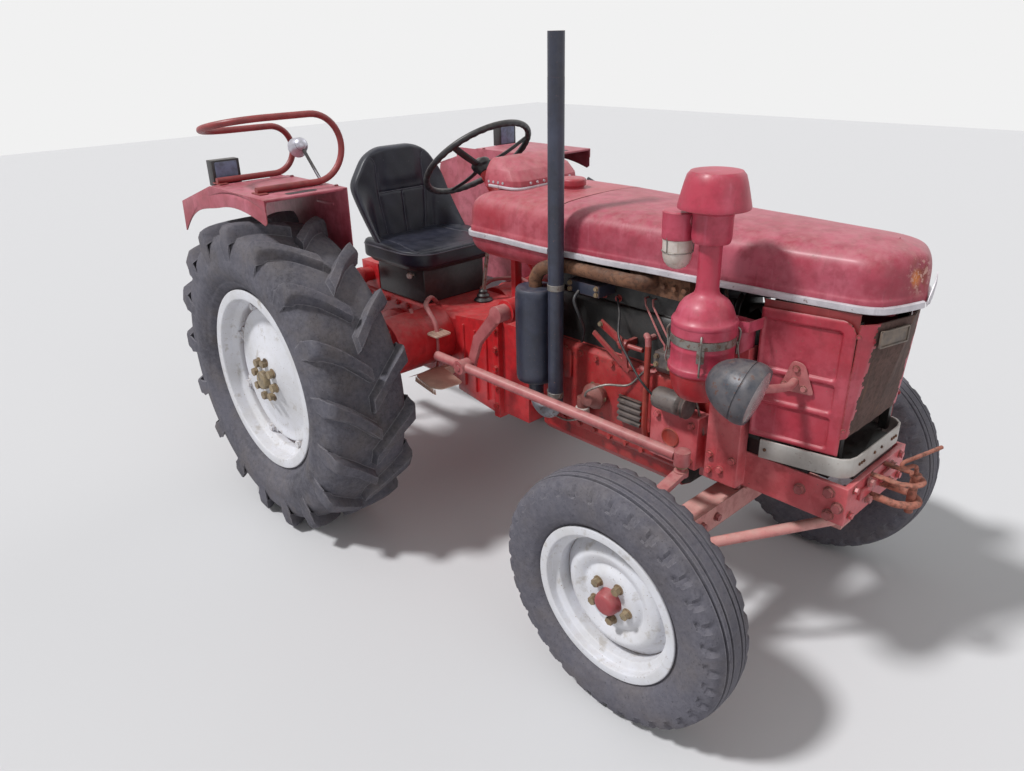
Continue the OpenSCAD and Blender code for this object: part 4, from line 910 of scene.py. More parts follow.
def edge_strip(line, low, high, out, inner=0.3):
    """A trim strip round an outline: slightly hollow outside, lipped above and below."""
    section = [(inner, low), (out * 0.55, low - 0.2), (out * 0.95, low + 2.2), (out, low + (high - low) * 0.5),
               (out * 0.95, high - 2.2), (out * 0.55, high + 0.2), (inner, high)]
    verts = []
    for i, (x, y) in enumerate(line):
        d = (Vector(line[min(i + 1, len(line) - 1)]) - Vector(line[max(i - 1, 0)])).normalized()
        wave = 0.8 * sin(x * 0.021 + y * 0.03)
        verts += [at(x + d.y * o, y - d.x * o, z + wave) for o, z in section]
    return ringed(verts, len(line), len(section))


def trims():
    right = [p for p in bonnet_line(0) if p[0] < NOSE_X - 3 or p[1] < -6]
    # the left part is bent away at the tip, where the two parts came apart
    bent = [(x - 2 * t, -y + 0.5 * t) for x, y, t in ((x, y, max(0.0, 1 + y / 60)) for x, y in right[::-1])]
    flap = mesh_of([at(1905, -4, 1094), at(1906, -2, 1112), at(1902, 34, 1148), at(1897, 50, 1162), at(1901, 44, 1138),
                    at(1905, 22, 1108)], [(0, 1, 2, 5), (5, 2, 3, 4)])
    low, high = BONNET_Z - 11, BONNET_Z + 7
    me = joined(edge_strip(right, low, high, 8.6), edge_strip(bent, low + 1, high + 2, 8.4), sheet(flap, 2, 0.0))
    piece("bonnet_trim_dressed", me, trim_metal, "bonnet_trim", 50, "bonnet_lid")
    piece("tank_trim_dressed", edge_strip(tank_line(0), low, high, 8.6), trim_metal, "tank_trim", 50)


def tank_line(inset):
    """Outline of the tank from the seam on the left, round the back, to the seam on the right."""
    w, b, r = SEAM_HALF - inset, 545 + inset, 46
    seam = SEAM_X - 4
    right = [(seam - (seam - b - r) * k / 8, -w) for k in range(9)]
    right += [(b + r - r * sin(a), -w + r - r * cos(a)) for a in (radians(k * 15) for k in range(1, 7))]
    middle = [(b, (-w + r) + (2 * w - 2 * r) * k / 8) for k in range(1, 8)]
    return [(x, -y) for x, y in right] + middle[::-1] + right[::-1]


def tank_piece():
    levels = [(66, -77), (50, -76), (36, -72), (22, -63), (12, -52), (6, -40), (2, -24), (0, -12)] + SIDE
    rows = [[(x, y, BONNET_Z + h) for x, y in tank_line(inset)] for inset, h in levels]
    rim = rows[-1]
    for s in (0.8, 0.55, 0.3, 0.1):
        rows.append([(x + (1 - s) * 30 * (1 - (x - 545) / 155) * (x < 700), y * s, z + 6 * (1 - s * s))
                     for x, y, z in rim])
    verts = [at(x, y - ripple(x, y, z, 0.6) * (1 if y > 0 else -1), z) for row in rows for x, y, z in row]
    piece("fuel_tank_dressed", ringed(verts, len(rows), len(rows[0])), red_tank, "fuel_tank", 40)
    cap = lathe([(0, 0), (36, 0), (36, 10), (42, 12), (42, 30), (36, 34), (0, 36)], 40, 3)
    piece("filler_cap", moved(cap, spot(800, 0, 1234)), red_tank)


# ---------------------------------------------------------------- seat

def dense(outline, step):
    """The same closed outline with points about a step apart."""
    out, n = [], len(outline)
    for i in range(n):
        a, b = Vector(outline[i]), Vector(outline[(i + 1) % n])
        k = max(1, round((b - a).length / step))
        out += [tuple(a + (b - a) * j / k) for j in range(k)]
    return out


def off_line(x, y, line):
    """Shortest distance from a point to an open line of points."""
    best, p = 1e9, Vector((x, y))
    for a, b in zip(line, line[1:]):
        a, b = Vector(a), Vector(b)
        t = max(0.0, min(1.0, (p - a).dot(b - a) / (b - a).length_squared))
        best = min(best, (p - a - (b - a) * t).length)
    return best


def groove(distance, depth=4.5):
    """How far a sewn seam pulls the cover in at a distance from its line; it fades over about 5 mm."""
    return -depth * exp(-(distance / 5) ** 2)


def pad(outline, centre, low, high, rise, rings, roll=12):
    """Rings of a closed pad: flat underneath, a rolled edge and a crowned top that closes in on the middle."""
    c = Vector(centre)
    edge = roll / max((Vector(p) - c).length for p in outline)
    levels = [(0.04, low, 0), (0.6, low, 0), (1 - edge, low, 0), (1 - 0.3 * edge, low + 0.3 * roll, 0),
              (1, low + roll, 0),
              (1, high - roll, 0), (1 - 0.12 * edge, high - 0.5 * roll, 0.2), (1 - 0.4 * edge, high - 0.16 * roll, 0.6)]
    levels += [((1 - edge) * (1 - k / rings) + 0.015 * k / rings, high, 1) for k in range(rings + 1)]
    spots = [(c + (Vector(p) - c) * share, z, top) for share, z, top in levels for p in outline]
    return [(q.x, q.y, z + top * rise(q.x, q.y)) for q, z, top in spots], len(levels), len(outline)


def seam_through(*points):
    return [(p.x, p.y) for p in curve_through([(x, y, 0) for x, y in points], 7)]


BOLSTER_SEAM = seam_through((-100, 146), (0, 148), (70, 160), (140, 178), (210, 186))
BACK_SEAM = seam_through((94, 950), (104, 1040), (112, 1125), (112, 1235), (130, 1262))


def cushion_top(x, y):
    side = ease((abs(y) - 135) / 60)
    z = 7 * side * (1 - ease((x - 20) / 90)) - 9 * exp(-((x - 40) / 130) ** 2 - (y / 130) ** 2)
    z += groove(off_line(x, abs(y), BOLSTER_SEAM)) + groove(abs(x - 208), 3) * (abs(y) < 186)
    return z + 0.7 * sin(x * 0.09 + y * 0.04) * cos(y * 0.07 - x * 0.025)


def back_top(y, z):
    w = groove(off_line(abs(y), z, BACK_SEAM)) + 9 * ease((112 - abs(y)) / 50) * ease((z - 1135) / 50)
    if abs(y) < 112:
        w += groove(abs(z - 1125))
    if z < 1125:
        w += groove(abs(y))
    return w + 0.8 * sin(z * 0.06 + y * 0.03) * cos(y * 0.055)


def on_back(y, z, w):
    """Place of a point of the back pad: the back leans and its sides reach forward as they near the cushion."""
    reach = 150 * max(0.0, 1 - (z - 930) / 235) ** 1.3
    return at(-154 - 0.1 * (z - 926) + w + reach * ease((abs(y) - 135) / 85), y, z)


def cushion_line(rear, rear_half, shoulder, half, front, corner):
    """Outline of the cushion: square behind, its front corners cut."""
    return filleted([(rear, -rear_half), (shoulder, -half), (front, -corner), (front, corner), (shoulder, half),
                     (rear, rear_half)], 50, 6)


def seat_pieces():
    outline = dense(cushion_line(-128, 219, 176, 220, 243, 160), 12)
    verts, rows, n = pad(outline, (50, 0), 900, 962, cushion_top, 30)
    cushion = piece("seat_cushion", ringed([at(*v) for v in verts], rows, n), seat_vinyl, "seat", 60)
    outline = filleted([(-214, 935), (214, 935), (219, 1165), (150, 1262), (85, 1294), (-85, 1294), (-150, 1262),
                        (-219, 1165)], 35, 5)
    verts, rows, n = pad(dense(outline, 12), (0, 1100), 0, 46, back_top, 34)
    back = piece("seat_back", ringed([on_back(*v) for v in verts], rows, n), seat_vinyl, "seat", 60)
    # piping along the seams and the edge of the cushion
    strips = []
    for s in BOTH:
        strips.append(swept([at(x, s * y, 963.5 + cushion_top(x, y)) for x, y in BOLSTER_SEAM], 2, 6))
        strips.append(swept([on_back(s * y, z, 47.5 + back_top(y, z)) for y, z in BACK_SEAM], 2, 6))
    across, down = [(10 * y, 1125) for y in range(-11, 12)], [(0, 955 + 8.5 * k) for k in range(21)]
    strips += [swept([on_back(y, z, 47.5 + back_top(y, z)) for y, z in line], 2.2, 6) for line in (across, down)]
    edge = dense(cushion_line(-126, 219.5, 176, 220.5, 243.5, 160), 15)
    strips.append(swept([at(x, y, 951) for x, y in edge + edge[:1]], 3, 6))
    piece("seat_piping", joined(*strips), piping_vinyl)
    # deep pan under the cushion with its knob
    outline = cushion_line(-118, 205, 170, 205, 226, 150)
    rows = [(0.80, 880.3), (0.90, 880.3), (0.965, 886), (1.0, 898), (1.025, 906), (1.025, 910.5), (0.9, 911)]
    verts = [at(50 + (x - 50) * k, y * k, z) for k, z in rows for x, y in outline]
    piece("seat_pan", ringed(verts, len(rows), len(outline)), wheel_plastic)
    knob = lathe([(0, 0), (4, 0), (4, 12), (11, 14), (13, 22), (8, 29), (0, 30)], 24, 3)
    piece("seat_knob", moved(knob, facing(at(118, -150, 852), (0, -1, 0))), jar_plastic)


# ---------------------------------------------------------------- controls

def steering_wheel_piece():
    place = spot(344, 0, 1286) @ turn(-40, "Y")
    steps, sides, verts = 192, 16, []
    for a in (2 * pi * k / steps for k in range(steps)):
        for b in (2 * pi * k / sides for k in range(sides)):
            grip = 0.0009 * (1 + cos(40 * a)) * max(0.0, -sin(b))
            r = 0.0112 + grip - 0.001 * abs(sin(b))
            verts.append(((0.2 + r * cos(b)) * cos(a), (0.2 + r * cos(b)) * sin(a), r * sin(b)))
    ring = outward(mesh_of(verts, grid_faces(steps, sides, True, True)))
    spokes = [swept(curve_through([Vector((r * cos(t), r * sin(t), z)) / 1000 for r, z in (
        (18, -30), (60, -28), (120, -18), (170, -6), (196, 0))], 5), 12.5, 12, 0.42)
              for t in map(radians, (60, 180, 300))]
    hub = lathe([(0, -58), (22, -58), (28, -40), (34, -34), (36, -20), (30, -12), (12, -8), (0, -8)], 48, 3)
    piece("steering_wheel_dressed", moved(joined(ring, hub, *spokes), place), wheel_plastic, "steering_wheel", 50,
          "steering_wheel_body")
    nut = lathe([(0, -9), (11, -9), (11, -3), (8, -1), (0, -1)], 6)
    piece("wheel_nut", moved(nut, place), bare_steel, None, 25, "steering_wheel_body")


def cowl_details():
    """Strip round the foot of the cowl, rivets above it, the gauge and the knobs on the driver's side."""
    softened("dash_cowl", red_tank, 10, 4, 20)
    foot = dense(filleted([(552, -152, 0), (704, -152), (704, 152), (552, 152, 0)], 50, 6), 20)
    strip = edge_strip([p for p in foot if p[0] > 553], 1234.5, 1243, 3.0, -1.0)
    piece("cowl_strip", strip, trim_metal, None, 50)
    rivets = [(at(x, s * 151.5, 1252), (0, s, 0)) for s in BOTH for x in range(572, 660, 22)]
    rivets += [(at(703, y, 1252), (1, 0, 0)) for y in range(-90, 91, 30)]
    bolts("cowl_rivets", rivets, 6, 2, trim_metal, 2)
    face = facing(at(551.6, 0, 1278), (-1, 0, 0))
    rim = lathe([(0, 0), (36, 0), (40, 2), (40, 8), (34, 9), (33, 4), (0, 4)], 48, 1)
    piece("gauge_rim", moved(rim, face), trim_metal)
    piece("gauge_face", moved(lathe([(0, 4.5), (32, 4.5), (32, 5.2), (0, 5.2)], 40), face), dial_paint)
    knob = lathe([(0, 0), (5, 0), (5, 10), (9, 12), (9, 20), (0, 21)], 20, 1.5)
    knobs = [moved(knob.copy(), facing(at(551.8, y, z), (-1, 0, 0)))
             for y, z in ((-80, 1268), (-58, 1292), (80, 1268), (58, 1292))]
    piece("dash_knobs", joined(*knobs), wheel_plastic)


def pedal_details():
    bars, pads = [], []
    for s in BOTH:
        bars.append(pipe([(200, s * 112, 753), (222, s * 150, 784), (262, s * 200, 792), (300, s * 236, 790),
                          (340, s * 251, 772), (368, s * 252, 744), (380, s * 252, 712)], 9.2, flat=0.8))
        pads.append(slab(oblong(30, 35, 12, 4), 7, spot(388, s * 252, 708)))
        pads += [slab(oblong(3, 30), 3, spot(366 + 11 * k, s * 252, 713), 1) for k in range(5)]
    piece("pedals_dressed", joined(*bars), pink_linkage, "pedals", 50)
    piece("pedal_plates", joined(*pads), step_steel)
    stick = pipe([(300, 40, 744), (303, 42, 790), (312, 48, 880), (326, 57, 980), (330, 60, 1006)], 7.8)
    piece("gear_stick", stick, bare_steel, "pedals", 50)
    knob = lathe([(0, -16), (10, -15), (19, -4), (20, 6), (13, 17), (0, 20)], 28, 4)
    boot = lathe([(0, 0), (36, 0), (36, 6), (24, 14), (26, 22), (17, 30), (18, 38), (10, 46), (0, 48)], 32, 3)
    piece("gear_knob", joined(moved(knob, spot(330, 60, 1010)), moved(boot, spot(300, 40, 745))), wheel_plastic)


def step_details():
    """Foot plates with a turned-down toothed edge."""
    parts = []
    for s in BOTH:
        outline = [(335, s * 230), (380, s * 225), (520, s * 260), (512, s * 352), (470, s * 368), (350, s * 340)]
        parts.append(slab(filleted(outline, 14), 5, spot(0, 0, 559.2), 1))
        parts += [slab([(-4, -16), (4, -16), (0, 4)], 4, spot(352 + 11.5 * k, s * (341 + 2 * min(k, 11)), 553)
                       @ turn(90, "X"), 0) for k in range(13)]
        parts.append(kept("footsteps", lambda x, y, z: x < 359 and z < 557 and y * s > 0))
    piece("footsteps_dressed", joined(*parts), step_steel, "footsteps", 30)


def rail_piece():
    """One tube: up from each foot in a half circle, then round behind in a third that joins the two."""
    (x0, h0), (x1, h1) = (90, 109), (-200, 81)
    foot, outer, inner, far = 1243.3, -720, -500, -652
    half, rise = (x0 - x1) / 2, h0 - h1

    def bend(c, u, v, steps=22):
        return [Vector(c) + cos(pi * k / steps) * Vector(u) + sin(pi * k / steps) * Vector(v) for k in range(steps + 1)]

    pts = [(x0, outer, foot), (x0, (outer + inner) / 2, foot)]
    pts += bend((x0, inner, foot + h0), (0, 0, -h0), (0, h0, 0))
    pts += bend((x0 - half, far, foot + 2 * h0 - rise), (half, 0, rise), (0, -half, 0))
    pts += bend((x1, inner, foot + h1), (0, 0, h1), (0, h1, 0))
    pts += [(x1, (outer + inner) / 2, foot), (x1, outer, foot)]
    piece("handrail_dressed", swept([at(*p) for p in pts], 10.8, 16), red_rail, "handrail", 50)
    feet = [slab(oblong(32, 16, 6), 4, spot(x, outer + 12, 1234.2), 1) for x in (x0, x1)]
    piece("rail_feet", joined(*feet), red_rail)


# ---------------------------------------------------------------- lamps

def lamp_pieces():
    bowl = lathe([(0, -68), (12, -67), (24, -63.5), (36, -56.5), (47, -46), (57, -32), (64.5, -17), (69.5, -2),
                  (72.4, 12), (73.2, 17.5), (71.6, 18.6), (71.6, 20.2), (74.2, 21.5), (75, 28), (74.8, 38), (72, 48),
                  (69, 53), (67, 52), (0, 51)], 96)
    pane = lathe([(0, 62), (20, 61), (40, 58), (58, 53.5), (67.5, 50), (67.5, 48), (0, 48)], 64)
    for s in BOTH:
        side = SIDE_NAME[s]
        place = facing(at(1672, s * 400, 946), (0.945, -s * 0.19, -0.265))
        piece(f"headlamp_{side}", moved(bowl.copy(), place), lamp_metal, "headlamps", 24)
        piece(f"headlamp_glass_{side}", moved(pane.copy(), place), glass)
        stem = pipe([(1674, s * 400, 938), (1680, s * 350, 926), (1692, s * 300, 915), (1702, s * 255, 906),
                     (1707, s * 216, 900), (1703.5, s * 195, 900), (1700.4, s * 177, 900)], 10.5, 14, 5)
        plate = slab(filleted([(-36, -30), (50, -30), (20, 46), (-10, 52)], 12, 4), 4,
                     facing(at(1700.9, s * 179.6, 902), (0.1825, s * 0.9832, 0)), 1)
        piece(f"headlamp_bracket_{side}", joined(stem, plate), pink_linkage, None, 50)
        spots = [(at(1700.9 + dx, s * (182.0 - dx * 0.18), 902 + dz), (0.18, s, 0))
                 for dx, dz in ((-22, -14), (24, -16), (2, 32))] + [(at(1690, s * 322, 931), (0, 0, 1))]
        bolts(f"headlamp_bolts_{side}", spots, 13, 7, pink_linkage, 7)
    # lamp boxes at the rear, with their coloured faces, and the work lamp
    softened("rear_lamps", box_plastic, 3)
    for s in BOTH:
        for name, paint, height, x, z, thickness, bevel in (
                ("stop_lens", red_lens, 11, -263.5, 1262, 6, 1.5), ("turn_lens", amber_lens, 11, -263.5, 1290, 6, 1.5),
                ("lamp_front", blue_grey, 36, -221, 1266, 4, 1)):
            way = (-1 if "lens" in name else 1, 0, 0)
            me = slab(oblong(40, height, 4), thickness, facing(at(x, s * 670, z), way), bevel)
            piece(f"{name}_{SIDE_NAME[s]}", me, paint)
    place = facing(at(-48, -468, 1350), (sin(radians(-115)), 0, cos(radians(-115))))
    head = lathe([(0, -22.5), (8, -22), (16, -18.5), (23, -10), (28, 2), (31, 15), (33, 22), (34.5, 25), (34.5, 30),
                  (31, 32), (0, 31)], 56)
    stem = pipe([(62, -468, 1232), (61, -468, 1243), (46, -468, 1258), (14, -468, 1288), (-22, -468, 1324),
                 (-36, -468, 1338)], 6.6, flat=0.55)
    piece("work_lamp", joined(moved(head, place), stem), bright_steel, None, 40)
    pane = lathe([(0, 34.5), (18, 34), (29, 31.5), (29, 30), (0, 30)], 40)
    piece("work_lamp_glass", moved(pane, place), glass)


# ---------------------------------------------------------------- engine side

def engine_pieces():
    ob = softened("engine_block", shade_black_iron, 5)
    # the block is near black as painted shade under the bonnet, except its lower outer sides, which take the red engine
    # iron
    painted_where(ob, engine_iron, lambda x, y, z: z < 818 and abs(y) > 100)
    spots = [(at(x, s * 190.3, z), (0, s, 0)) for s in BOTH for x in range(830, 1290, 62) for z in (548, 788)]
    spots += [(at(x, s * 150.3, 978), (0, s, 0)) for s in BOTH for x in range(960, 1180, 55)]
    bolts("engine_bolts", spots, 15, 9, engine_iron, 11)
    covers = [slab(oblong(52, 48, 16, 4), 8, facing(at(x, s * 194, 742), (0, s, 0)), 2)
              for s, x in ((-1, 930), (-1, 1215), (1, 900), (1, 1130))]
    piece("engine_covers", joined(*covers), engine_iron)
    ob = softened("engine_fittings", aux_iron)
    for paint, test in (
            (pump_red, lambda x, y, z: y < -189 and x < 1150 and z < 725),
            (filler_red, lambda x, y, z: y < -160 and 1262 < x < 1300 and 590 < z < 935),
            (lever_red, lambda x, y, z: y < -166 and 1080 < x < 1272 and 780 < z < 935),
            (stack_paint, lambda x, y, z: 980 < x < 1112 and z > 985),
            (pink_linkage, lambda x, y, z: y < -149 and 1224 < x < 1366 and 882 < z < 1010)):
        painted_where(ob, paint, test)
    pipes = [pipe(points, 3.5, 8, 7) for points in (
        [(1092, -256, 690), (1112, -262, 716), (1160, -240, 742), (1216, -206, 748), (1262, -200, 800),
         (1310, -202, 838)],
        [(1352, -214, 846), (1392, -214, 850), (1420, -200, 812), (1446, -186, 730), (1462, -180, 665)],
        [(1054, -222, 628), (1054, -224, 596), (1000, -226, 566), (930, -205, 548), (850, -196, 548)])]
    piece("fuel_pipes", joined(*pipes), bare_steel, None, 50)
    wires = [pipe([(1048, -240, 1004), (1050, -262, 980), (1064, -250, 930), (1040, -206, 880),
                   (1020, -192, 828)], 5, 10, 8),
             pipe([(1336, -250, 768), (1300, -262, 806), (1250, -252, 850), (1200, -238, 900), (1160, -190, 950),
                   (1120, -154, 985)], 3.5, 8, 8)]
    piece("engine_wires", joined(*wires), wheel_plastic, None, 50)
    places = [(x, -222.3, z) for x in (998, 1099) for z in (998, 1016)]
    places += [(1092 + 36 * sin(a), -209, 676 + 36 * cos(a)) for a in (0.5, 1.6, 2.7, 3.8, 4.9, 6.0)]
    places += [(x, -215.3, z) for x in (1316, 1362) for z in (846, 870)] + [(1204, -221, 872), (1116, -219, 915)]
    bolts("fitting_bolts", [(at(*p), (0, -1, 0)) for p in places], 11, 7, grease_nuts, 12)
    bowl = lathe([(0, -52), (18, -52), (22, -46), (22, -10), (0, -8)], 32, 3)
    piece("sediment_bowl", moved(bowl, spot(1054, -222, 640)), jar_plastic)


def exhaust_pieces():
    body = [(0, 685), (42, 685), (53, 686.5), (58, 690), (60, 694), (61, 700), (61, 716), (60.4, 718), (60.4, 958),
            (61, 960), (61, 978), (60, 984), (57, 988), (50, 989.6), (30, 990), (0, 990)]
    piece("silencer_dressed", moved(lathe(body), spot(888, -257, 0)), stack_paint, "silencer", 40)
    seam = swept([at(888 - 60.5 * cos(0.9), -257 - 60.5 * sin(0.9), z) for z in range(702, 977, 18)], 2.2, 6)
    piece("silencer_seam", seam, stack_paint)
    # one tube from the silencer down, round the elbow and up the stack, with an open mouth
    a, b = Vector((888, -257, 0)), Vector((986, -271, 0))
    mid, reach = (a + b) / 2, (b - a) / 2
    path = [a + Vector((0, 0, z)) for z in (684, 665)]
    path += [mid - reach * cos(t) + Vector((0, 0, 645 - reach.length * sin(t)))
             for t in (pi * k / 24 for k in range(25))]
    path += [b + Vector((0, 0, z)) for z in (665, 690, 1000, 1300, 1580)]
    mouth = moved(lathe([(0, 1579), (22.8, 1579), (22.9, 1600), (22.9, 1690), (20.8, 1690), (20, 1640), (20, 1600),
                         (0, 1598)], 48), spot(986, -271, 0))
    stack = joined(swept([at(*p) for p in path], 23.2, 28), mouth)
    ob = piece("exhaust_stack_dressed", stack, stack_paint, "exhaust_stack", 50)
    painted_where(ob, elbow_paint, lambda x, y, z: z < 641)
    straps = [moved(lathe([(23.4, -9), (25, -8), (25, 8), (23.4, 9)], 40), spot(986, -271, z)) for z in (668, 1010)]
    tie = pipe([(962, -268, 668), (950, -266, 668)], 6, 8, 2)
    piece("stack_straps", joined(*straps, tie), bare_steel)
    z = 1062
    tube = pipe([(1262, -158, z), (1261, -180, z), (1254, -196, z), (1240, -208, z), (1217, -217, z), (1180, -219, z),
                 (1080, -221, z), (1010, -221, z), (975, -225, z - 0.5), (946, -240, z - 3), (922, -252, z - 10),
                 (903, -256.5, z - 24), (892, -257, z - 42), (888, -257, 1012), (888, -257, 990)], 20.2, 24, 5)
    flange = kept("exhaust_pipe", lambda x, y, z: y > -175.5 and x > 1170)
    piece("exhaust_pipe_dressed", joined(tube, flange), pipe_rust, "exhaust_pipe", 50)
    spots = [(at(x, -175.4, 1056), (0, -1, 0)) for x in (1192, 1225, 1300, 1335, 1368)]
    bolts("manifold_nuts", spots, 14, 10, pipe_rust, 13)


def air_pieces():
    c = spot(1527, -322, 0)
    body = lathe([(0, 855), (44, 855), (54, 858), (62, 868), (68, 882), (73, 902), (75.5, 922), (76, 926), (79.5, 928),
                  (81, 931), (81, 940), (79.5, 944), (76, 946), (76, 985), (76.8, 987), (76.8, 991), (76, 993),
                  (76, 1042), (78.5, 1045), (79, 1050), (79, 1055), (76.5, 1059), (72, 1062), (69, 1072), (63, 1088),
                  (54, 1101), (42, 1110), (33, 1116), (28.5, 1124), (27, 1134), (27, 1240), (0, 1240)], 88)
    bracket = kept("air_cleaner", lambda x, y, z: y > -250 and 955 < z < 1035 and x < 1592)
    ob = piece("air_cleaner_dressed", joined(moved(body, c), bracket), cleaner_red, "air_cleaner", 34)
    painted_where(ob, bowl_red, lambda x, y, z: z < 928)
    parts = [lathe([(76.3, 1000), (78.2, 1001), (78.2, 1020), (76.3, 1021)])]
    for t in map(radians, (-150, -60, 40, 130)):
        d = Vector((cos(t), sin(t), 0))
        pts = [d * r + Vector((0, 0, z)) for r, z in ((78.5, 1036), (86, 1024), (83, 985), (88, 952), (83, 936))]
        parts.append(swept(curve_through([p / 1000 for p in pts]), 2.6, 8))
        parts.append(slab(oblong(9, 16), 3, facing(d * 0.0795 + Vector((0, 0, 0.985)), d), 1))
    piece("air_cleaner_clips", moved(joined(*parts), c), bare_steel, None, 40)
    cup = lathe([(0, 1240), (42, 1240), (44, 1243), (46, 1252), (46, 1300), (48, 1308), (58, 1314), (76, 1317),
                 (82, 1319), (82.6, 1323), (81, 1330), (76, 1352), (70, 1376), (65, 1392), (58, 1400), (46, 1402),
                 (20, 1402), (0, 1402)], 80)
    piece("pre_cleaner_dressed", moved(cup, c), cleaner_red, "pre_cleaner", 34)
    # glass jar with its lid, the arm to the cap and the wires that hold it
    x0, y0 = 1443, -332
    jar = lathe([(0, 1165), (12, 1166), (22, 1171), (30, 1181), (34.5, 1195), (36, 1212), (36, 1230), (37, 1236),
                 (37, 1246), (0, 1246)], 56)
    piece("dust_jar_dressed", moved(jar, spot(x0, y0, 0)), jar_plastic, "dust_jar", 34)
    lid = lathe([(0, 1238), (38.5, 1238), (39.6, 1241), (39, 1246), (39.6, 1296), (40.4, 1301), (37, 1304),
                 (0, 1305)], 48)
    arm = pipe([(x0, y0, 1284), (1460, -330, 1286), (1482, -327, 1286)], 17, 16, 4)
    piece("jar_lid", joined(moved(lid, spot(x0, y0, 0)), arm), cleaner_red)
    wires = [swept([at(x0 + 36.8 * cos(a), y0 + 36.8 * sin(a), 1208)
                    for a in (pi * k / 24 for k in range(49))], 1.4, 6)]
    wires += [pipe([(x0 + r * cos(a), y0 + r * sin(a), z)
                    for r, z in ((39, 1244), (38.2, 1230), (37, 1208))], 1.3, 6, 4)
              for a in (0.4, 2.5, 4.6)]
    piece("jar_wires", joined(*wires), bare_steel, None, 50)
    # flat strap from the air cleaner round to the frame of the radiator
    ring = [(1527 + 78.5 * cos(a), -322 + 78.5 * sin(a)) for a in map(radians, range(120, 403, 6))]
    strap = [(1588, -236)] + ring + [(1612, -262), (1616, -225), (1617, -205)]
    piece("cleaner_strap", edge_strip(strap[::-1], 1022, 1050, 2.2), cleaner_red, None, 40)


# ---------------------------------------------------------------- nose

def in_round_box(u, v, u0, u1, v0, v1, r):
    """Signed distance to a rectangle with round corners: negative inside."""
    du, dv = abs(u - (u0 + u1) / 2) - (u1 - u0) / 2 + r, abs(v - (v0 + v1) / 2) - (v1 - v0) / 2 + r
    return hypot(max(du, 0), max(dv, 0)) + min(max(du, dv), 0) - r


def panel_pieces():
    """Pressed side panels: a raised border round three sunk fields, with a round upper corner at the front."""
    fields = [(7, 190, 740, 824), (7, 190, 836, 908), (7, 190, 920, 1044)]
    cols, rows, width, low, high = 74, 110, 219, 727.5, 1072
    corner_u, corner_v, corner_r = 184, 1037, 35
    for s in BOTH:
        side, verts = SIDE_NAME[s], []
        for i in range(rows):
            for j in range(cols):
                u, v = width * j / (cols - 1), low + (high - low) * i / (rows - 1)
                far = hypot(u - corner_u, v - corner_v)
                if u > corner_u and v > corner_v and far > corner_r:
                    u, v = corner_u + (u - corner_u) * corner_r / far, corner_v + (v - corner_v) * corner_r / far
                sunk = 7.0 * ease(-min(in_round_box(u, v, *f, 10) for f in fields) / 7 + 0.4)
                lip = 3.5 * (1 - ease(min(u, width - u, v - 727, high - v) / 5))
                off = sunk + lip + 0.9 * sin(u * 0.05 + v * 0.021) * cos(v * 0.033)
                verts.append(at(1603.4 + 218.4 * u / width, s * (197.9 - 39.7 * u / width - max(0.0, off)), v))
        panel = sheet(open_sheet(verts, rows, cols, 1, s), 3)
        verts = [at(1603 + 219 * k / 8, s * (186 - 39 * k / 8), z) for z in (1030, 1090) for k in range(9)]
        inner = sheet(mesh_of(verts, grid_faces(2, 9)), 2, 0.0)
        piece(f"panel_inner_{side}", inner, red_rail, None, 45)
        piece(f"side_panel_{side}", panel, red_panel, "side_panels", 45)


def nose_pieces():
    """The bent front sheet from panel to panel, its blank plate and the band round the foot of the nose."""
    low, high = (775, 1830, 144, 1832, 1823.6), (1068, 1853, 128, 1886, 1828.6)
    edge_cols, cols, rows, verts = 6, 30, 44, []
    for i in range(rows):
        z, ex, ey, tip, back = (a + (b - a) * i / (rows - 1) for a, b in zip(low, high))
        ends = [(back, -158.0), (ex, -ey), (tip, 0), (ex, ey), (back, 158.0)]
        line = [Vector(a) + (Vector(b) - Vector(a)) * j / n
                for a, b, n in zip(ends, ends[1:], (edge_cols, cols, cols, edge_cols)) for j in range(n)]
        for q in line + [Vector(ends[-1])]:
            verts.append(at(q.x - abs(1.3 * sin(q.y * 0.05 + z * 0.013) * cos(z * 0.024)), q.y, z))
    me = sheet(open_sheet(verts, rows, 2 * (edge_cols + cols) + 1, 0, 1), 4)
    ob = piece("front_sheet", me, front_rust, "grille", 30)
    painted_where(ob, red_panel,
                  lambda x, y, z: abs(y) > 132 - 12 * (z - 775) / 293 + 5 * sin(z * 0.11) + 3 * sin(z * 0.31))
    # blank plate with a raised rim, high on the right face
    a, b = at(1853, -128, 1030), at(1884, 0, 1030)
    along, out = (b - a).normalized(), Vector((b.y - a.y, a.x - b.x, 0)).normalized()
    face = Matrix(((along.x, 0, out.x, 0), (along.y, 0, out.y, 0), (0, 1, 0, 0), (0, 0, 0, 1)))
    centre = a + (b - a) * 0.46 + out * 0.004
    parts = [slab(oblong(50, 21, 3), 3, Matrix.Translation(centre) @ face, 0.6)]
    parts += [slab(oblong(w, h), 2.5,
                   Matrix.Translation(centre + out * 0.0025) @ face @ Matrix.Translation((x, y, 0)), 0.6)
              for w, h, x, y in ((50, 2, 0, 0.019), (50, 2, 0, -0.019), (2, 21, 0.048, 0), (2, 21, -0.048, 0))]
    piece("nose_plate", joined(*parts), plate_paint)
    spots = [(at(1827, s * 157, z), (0.6, s, 0)) for s in BOTH for z in (800, 1040)]
    bolts("sheet_screws", spots, 8, 3, red_panel, 15)
    softened("bumper_band", band_metal, 1.5)
    spots = [(at(1858.4, s * y, 702), (1, 0, 0)) for s in BOTH for y in (104, 92, 80, 20)]
    spots += [(at(1655, s * 199, 700), (0, s, 0)) for s in BOTH]
    bolts("band_bolts", spots, 6, 3, pipe_rust, 16)


